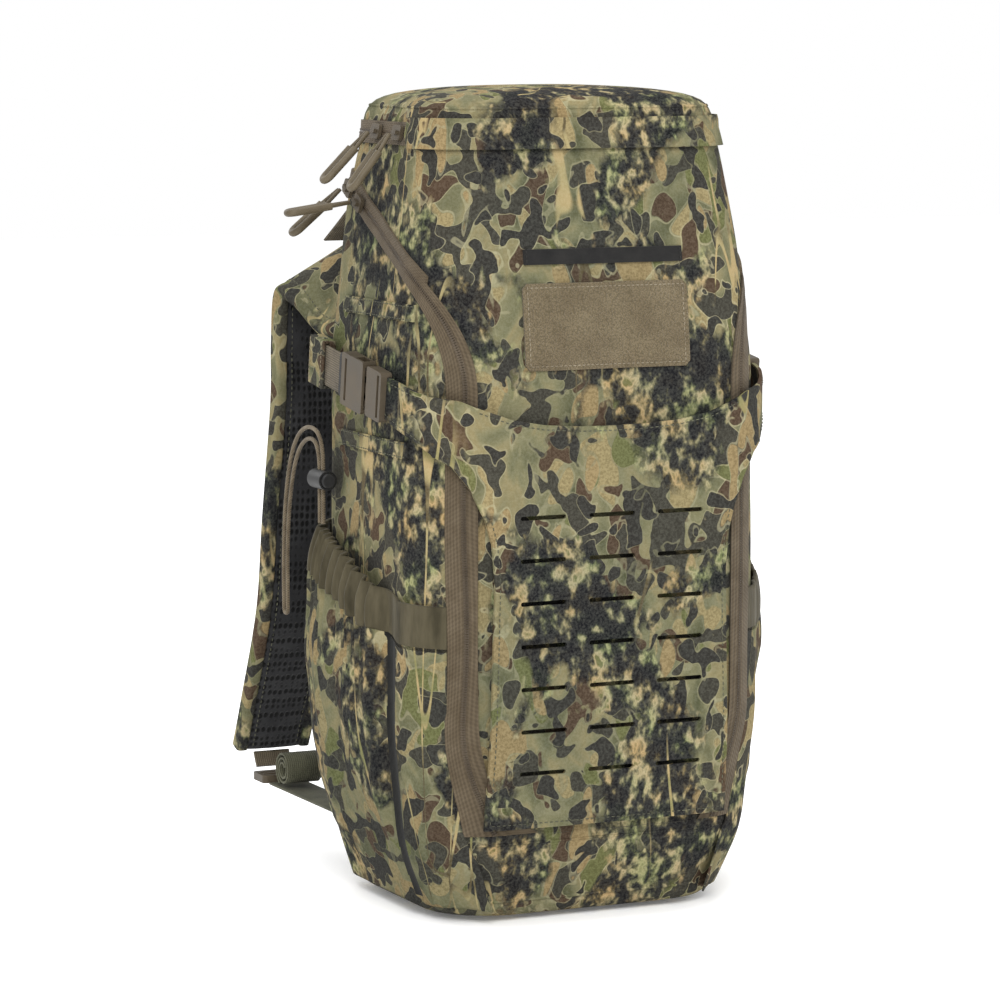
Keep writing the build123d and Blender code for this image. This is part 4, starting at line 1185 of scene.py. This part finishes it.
def binding_outline(edge):
    """Folded tape round one edge of the strap."""

    def outline(width):
        middle = edge * (width / 2 - 2.9)
        points = []
        for k in range(20):
            angle = math.tau * k / 20
            c, s = math.cos(angle), math.sin(angle)
            across = math.copysign(abs(c) ** 0.6, c) * 3.9
            thick = math.copysign(abs(s) ** 0.45, s) * 5.6
            points.append((middle + across, thick))
        return points

    return outline


for hand, side in (("left", -1), ("right", 1)):
    pad = strap_loft(
        f"shoulder_pad_{hand}", side, pad_outline, air_mesh, (f"shoulder_strap_{hand}",)
    )
    strap_loft(f"shoulder_cover_{hand}", side, cover_outline, camo)
    for edge_name, edge in (("outer", 1), ("inner", -1)):
        strap_loft(f"shoulder_binding_{edge_name}_{hand}", side, binding_outline(edge), camo)
    rows = []
    for edge in (1, -1):
        for face in (1, -1):
            row = []
            for k in range(100):
                middle, across, outward, width = strap_frame(side, 0.01 + 0.98 * k / 99)
                spot = middle + across * edge * (width / 2 - 9.4) + outward * face * 5.3
                row.append((spot * mm, outward * face))
            rows.append(row)
    laid_rows(rows, thread_dark, f"shoulder_stitches_{hand}", "root", pitch=3.6)


# Back pad: foam under the same air mesh, quilted into six cushions, with a
# bound edge. Behind it the cloth of the back carries the load.
build = bmesh.new()
grid = []
pad_columns, pad_rows = 92, 180
pad_half, pad_foot, pad_top, pad_corner = 84.5, 60.5, 424.5, 18
pad_middle = (pad_foot + pad_top) / 2
for i in range(pad_columns + 1):
    column_verts = []
    for j in range(pad_rows + 1):
        x = -pad_half + 2 * pad_half * i / pad_columns
        z = pad_foot + (pad_top - pad_foot) * j / pad_rows
        from_end = min(z - pad_foot, pad_top - z)
        inset = max(0.0, pad_corner - (pad_half - abs(x))), max(0.0, pad_corner - from_end)
        from_edge = min(pad_half - abs(x), from_end)
        if inset[0] > 0 and inset[1] > 0:
            from_edge = pad_corner - math.hypot(*inset)
        rise = 7.6 * (1 - math.exp(-max(0.0, from_edge) / 3.2))
        channel = 0.0
        for line in (pad_middle - 91, pad_middle, pad_middle + 91):
            channel = max(channel, math.exp(-(((z - line) / 3.2) ** 2)))
        channel = max(channel, math.exp(-((x / 3.2) ** 2)))
        cushion = 0.35 * noise.noise(Vector((x / 20, z / 20, 2.0)))
        if from_edge < 0:
            shift = -from_edge
            norm = math.hypot(*inset) or 1
            x -= math.copysign(inset[0] / norm * shift, x)
            z -= math.copysign(inset[1] / norm * shift, z - pad_middle)
            rise = 0.0
        y = 80.6 + max(0.4, rise - 4.2 * channel * min(1, max(0, from_edge) / 8) + cushion)
        column_verts.append(build.verts.new((x * mm, y * mm, z * mm)))
    grid.append(column_verts)
for i in range(pad_columns):
    for j in range(pad_rows):
        build.faces.new((grid[i][j], grid[i][j + 1], grid[i + 1][j + 1], grid[i + 1][j]))
rim = [e for e in build.edges if e.is_boundary]
walls = bmesh.ops.extrude_edge_only(build, edges=rim)["geom"]
for vert in [g for g in walls if isinstance(g, bmesh.types.BMVert)]:
    vert.co.y = 80.2 * mm
bmesh.ops.contextual_create(build, geom=[e for e in build.edges if e.is_boundary])
bmesh.ops.recalc_face_normals(build, faces=build.faces[:])
back_cushion = new_piece("back_cushion", build, air_mesh, "root", ("back_pad",), angle=60)


# Webbing: 25 mm and 20 mm nylon tape, folded, sewn and rolled where it ends.
def webbing_cloth(name, dark, light, rib=0.0014):
    """Ribbed nylon tape: the ribs run along it, U is across and V along, in metres."""
    p = Paint(name, roughness=0.78, sheen=0.075, specular=0.113)
    across = p.place(source="UV")
    ribs = p.node(
        "TexWave",
        {"Vector": across, "Scale": math.tau / 20 / rib, "Distortion": 0.3, "Detail": 1.0},
        bands_direction="X",
    ).outputs["Fac"]
    picks = p.node(
        "TexWave",
        {"Vector": across, "Scale": math.tau / 20 / 0.0012, "Distortion": 0.5, "Detail": 1.0},
        bands_direction="Y",
    ).outputs["Fac"]
    shade = p.noise(p.place(), 90, 3, 0.6).outputs["Fac"]
    colour = p.ramp(shade, [(0.3, dark), (0.7, light)])
    # Darker between the ribs and picks: painted shade in the grooves of the tape.
    deep = p.mix(0.55, colour, (0.01, 0.01, 0.008))
    p.colour(p.mix(p.step(p.maths("ADD", ribs, p.maths("MULTIPLY", picks, 0.35)), 0.25, 0.85), deep, colour))
    p.bump(ribs, 0.55, 0.0005)
    p.bump(picks, 0.25, 0.0003)
    return p.material


def webbing(name, centre, across, width, thickness, material, body, nodes=(), steps=0):
    """Flat tape along centre points in mm; across is its width's direction."""
    path = [Vector(p) for p in centre]
    if steps:
        path = [through(centre, k / steps) for k in range(steps + 1)]
    across = Vector(across).normalized()
    build = bmesh.new()
    uv = build.loops.layers.uv.new("UVMap")
    outline = []
    half, thick, soft = width / 2, thickness / 2, min(0.5, thickness / 3)
    for a, o in ((-half, -thick + soft), (-half + soft, -thick), (0, -thick), (half - soft, -thick),
                 (half, -thick + soft), (half, thick - soft), (half - soft, thick), (0, thick),
                 (-half + soft, thick), (-half, thick - soft)):
        outline.append((a, o))
    rings, marks, travelled = [], [], 0.0
    for i, point in enumerate(path):
        heading = (path[min(i + 1, len(path) - 1)] - path[max(i - 1, 0)]).normalized()
        outward = heading.cross(across).normalized()
        if i:
            travelled += (point - path[i - 1]).length
        rings.append([build.verts.new((point + across * a + outward * o) * mm) for a, o in outline])
        marks.append(travelled)
    for k in range(len(path) - 1):
        for i in range(10):
            j = (i + 1) % 10
            face = build.faces.new((rings[k][i], rings[k][j], rings[k + 1][j], rings[k + 1][i]))
            for loop, (row, col) in zip(face.loops, ((k, i), (k, j), (k + 1, j), (k + 1, i))):
                loop[uv].uv = (outline[col][0] * mm, marks[row] * mm)
    build.faces.new(rings[0][::-1])
    build.faces.new(rings[-1])
    bmesh.ops.recalc_face_normals(build, faces=build.faces[:])
    return new_piece(name, build, material, body, nodes, angle=50)


tan_tape = webbing_cloth("tan_tape", (0.085, 0.068, 0.045), (0.140, 0.115, 0.078))
olive_tape = webbing_cloth("olive_tape", (0.055, 0.055, 0.034), (0.095, 0.094, 0.060))
elastic_tape = webbing_cloth("elastic_tape", (0.010, 0.010, 0.010), (0.026, 0.026, 0.025), 0.0010)

# The buckle's own line runs back and up at 8 degrees from its middle, u along it and v across it
c8, s8 = math.cos(math.radians(8)), math.sin(math.radians(8))
buckle_x, buckle_y, buckle_z = 123, -10, 320


def on_buckle(u, v):
    """The y and z of a place on the buckle's line."""
    return buckle_y + u * c8 - v * s8, buckle_z + u * s8 + v * c8


for hand, side in (("left", -1), ("right", 1)):
    x = side * 94
    webbing(
        f"lower_webbing_{hand}", [(x, y, 45) for y in (79, 100, 130, 160, 187.6)], (1, 0, 0), 24.6, 1.5,
        olive_tape, "root", ("lower_webbing",),
    )
    spiral = []
    for k in range(61):
        turn = k / 60 * math.tau * 2.6
        reach = 11.2 - 2.9 * turn / math.tau
        spiral.append((x, 166 + reach * math.sin(turn + 0.5), 57.9 - reach * math.cos(turn + 0.5)))
    webbing(f"webbing_roll_{hand}", spiral, (1, 0, 0), 24.2, 1.4, olive_tape, "root", ("webbing_rolls",))
    webbing(
        f"strap_end_tape_{hand}", [(x, 209.6, 52.6), (x, 212, 56.5), (x, 214.6, 61.6)], (1, 0, 0), 24.6, 2.2,
        tan_tape, "root", ("strap_end_tabs",),
    )
    lifter_x = side * 76
    lifter = [(lifter_x, y, z) for y, z in ((81.4, 431.6), (100, 421.2), (120, 410), (141, 398.8))]
    webbing(
        f"load_lifter_{hand}", lifter, (1, 0, 0), 19.6, 1.5, tan_tape, "root", ("load_lifters",), 16,
    )
    strap_x = side * buckle_x
    webbing(
        f"buckle_webbing_{hand}", [(strap_x, *on_buckle(u, 0)) for u in (19.3, 40, 60, 74.8)],
        (0, -s8, c8), 24.6, 1.5, tan_tape, f"strap_{hand}", (f"buckle_strap_{hand}",),
    )
    loop_points = []
    for k in range(25):
        angle = math.tau * k / 24
        across_reach = math.copysign(abs(math.cos(angle)) ** 0.25, math.cos(angle)) * 13.0
        out_reach = math.copysign(abs(math.sin(angle)) ** 0.5, math.sin(angle)) * 1.35
        loop_points.append((strap_x + out_reach, *on_buckle(32.5, across_reach)))
    webbing(
        f"strap_keeper_band_{hand}", loop_points, (0, c8, s8), 5.0, 0.9, elastic_tape,
        f"strap_{hand}", (f"strap_keeper_{hand}",),
    )
    # The anchor is a sleeve of padded camo tape, sewn to the side, that the buckle webbing runs into
    build = bmesh.new()
    walls = ((1.15, 3.1, -15, 15), (-5.6, -1.15, -15, 15), (-1.3, 1.3, 12.9, 15), (-1.3, 1.3, -15, -12.9))
    for w_low, w_high, v_low, v_high in walls:
        corners = []
        for u in (58.2, 79.8):
            for v in (v_low, v_high):
                for w in (w_low, w_high):
                    corners.append(build.verts.new(Vector((side * (buckle_x + w), *on_buckle(u, v))) * mm))
        for quad in ((0, 1, 3, 2), (4, 6, 7, 5), (0, 4, 5, 1), (2, 3, 7, 6), (0, 2, 6, 4), (1, 5, 7, 3)):
            build.faces.new([corners[q] for q in quad])
    bmesh.ops.recalc_face_normals(build, faces=build.faces[:])
    anchor = new_piece(f"buckle_anchor_{hand}", build, camo, "root", ("buckle_anchors",))
    apply_modifier(anchor, "BEVEL", width=0.9 * mm, segments=3)
    select_only(anchor)
    bpy.ops.object.shade_smooth_by_angle(angle=math.radians(50))
    rows = []
    for u in (60.2, 77.8):
        rows.append([
            (Vector((side * (buckle_x + 3.15), *on_buckle(u, v))) * mm, Vector((side, 0, 0)))
            for v in (-13.5, 13.5)
        ])
    laid_rows(rows, thread_tan, f"buckle_anchor_stitches_{hand}", "root", pitch=2.8, length=2.0)

# Haul handle: doubled webbing arched over the zip, on two sewn tabs
handle_path = [(p.x, 93, p.y) for p in rounded_path([(-52, 440.2), (-46, 486), (46, 486), (52, 440.2)], (16, 16), 10)]
dark_tape = webbing_cloth("dark_tape", (0.050, 0.052, 0.040), (0.105, 0.105, 0.078))
webbing("haul_handle_tape", handle_path, (0, 1, 0), 13.6, 2.9, dark_tape, "handle", ("haul_handle",))
for hand, side in (("left", -1), ("right", 1)):
    build = bmesh.new()
    bmesh.ops.create_cube(build, size=1.0)
    for vert in build.verts:
        vert.co = Vector((side * 52 + vert.co.x * 9.6, 90.6 + vert.co.y * 18.2, 435.2 + vert.co.z * 6.8)) * mm
    tab_block = new_piece(f"haul_handle_tab_{hand}", build, olive_tape, "root", ("handle_tabs",))
    apply_modifier(tab_block, "BEVEL", width=1.4 * mm, segments=3)
    select_only(tab_block)
    bpy.ops.object.shade_smooth_by_angle(angle=math.radians(50))


# Buckles, ladder locks, cord lock, sliders and pulls keep their moulded shapes
# and take their own plastic, metal and cord.
buckle_plastic = moulded_plastic("buckle_plastic", (0.050, 0.039, 0.025), (0.080, 0.063, 0.042))
lock_plastic = moulded_plastic("lock_plastic", (0.012, 0.012, 0.012), (0.030, 0.030, 0.029))
slider_paint = moulded_plastic("slider_paint", (0.058, 0.045, 0.029), (0.095, 0.075, 0.050))
slider_paint.node_tree.nodes["Principled BSDF"].inputs["Metallic"].default_value = 0.35
pull_rubber = moulded_plastic("pull_rubber", (0.070, 0.055, 0.033), (0.110, 0.089, 0.057))
for name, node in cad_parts.items():
    finish = None
    if name.startswith(("buckle_socket", "buckle_tongue", "buckle_prong", "ladder_lock")):
        finish = buckle_plastic
    elif name.startswith("cord_lock"):
        finish = lock_plastic
    elif name.startswith("slider"):
        finish = slider_paint
    elif name.startswith("pull"):
        finish = pull_rubber
    if finish is not None:
        node.data.materials.clear()
        node.data.materials.append(finish)


# Inside: the coated lining shows when the front is open, with a bladder sleeve
# on the back, an organiser on the front, and the floor of the lid pocket.
sheet_plastic = moulded_plastic("sheet_plastic", (0.025, 0.025, 0.025), (0.045, 0.045, 0.045))
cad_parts["frame_sheet"].data.materials.clear()
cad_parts["frame_sheet"].data.materials.append(sheet_plastic)
for node, body, hem in (("inner_sleeve", "root", 14), ("organiser_pocket", "front", 12)):
    low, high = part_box(node)
    wall, reach = (high[1], low[1]) if body == "root" else (low[1], high[1])
    build = bmesh.new()
    grid = []
    for i in range(61):
        across = i / 60
        column = []
        for j in range(61):
            up = j / 60
            swell = min(1.0, 7 * across, 7 * (1 - across), 6 * up)
            swell = swell * swell * (3 - 2 * swell)
            sag = 0.10 * noise.noise(Vector((across * 5, up * 3, 2.0))) * swell
            lip = 0.10 if (1 - up) * (high[2] - low[2]) < hem * mm else 0.0
            y = wall + (reach - wall) * (0.12 + swell * (0.72 + sag) + lip * swell)
            x = low[0] + (high[0] - low[0]) * across
            z = low[2] + (high[2] - low[2]) * up
            column.append(build.verts.new((x, y, z)))
        grid.append(column)
    for i in range(60):
        for j in range(60):
            corners = [grid[i][j], grid[i + 1][j], grid[i + 1][j + 1], grid[i][j + 1]]
            build.faces.new(corners if reach < wall else corners[::-1])
    piece = new_piece(f"{node}_cloth", build, lining_cloth, body, (node,))
    apply_modifier(piece, "SOLIDIFY", thickness=1.0 * mm, offset=-1)

build = bmesh.new()
outline = ring(465.4, 0.965)
low = [build.verts.new((x * mm, y * mm, 0.4649)) for x, y in outline]
high = [build.verts.new((x * mm, y * mm, 0.4661)) for x, y in outline]
prism(build, (low, high))
bmesh.ops.recalc_face_normals(build, faces=build.faces[:])
new_piece("lid_pocket_floor_cloth", build, lining_cloth, "front", ("lid_pocket_floor",))

bpy.data.objects.remove(main_band)
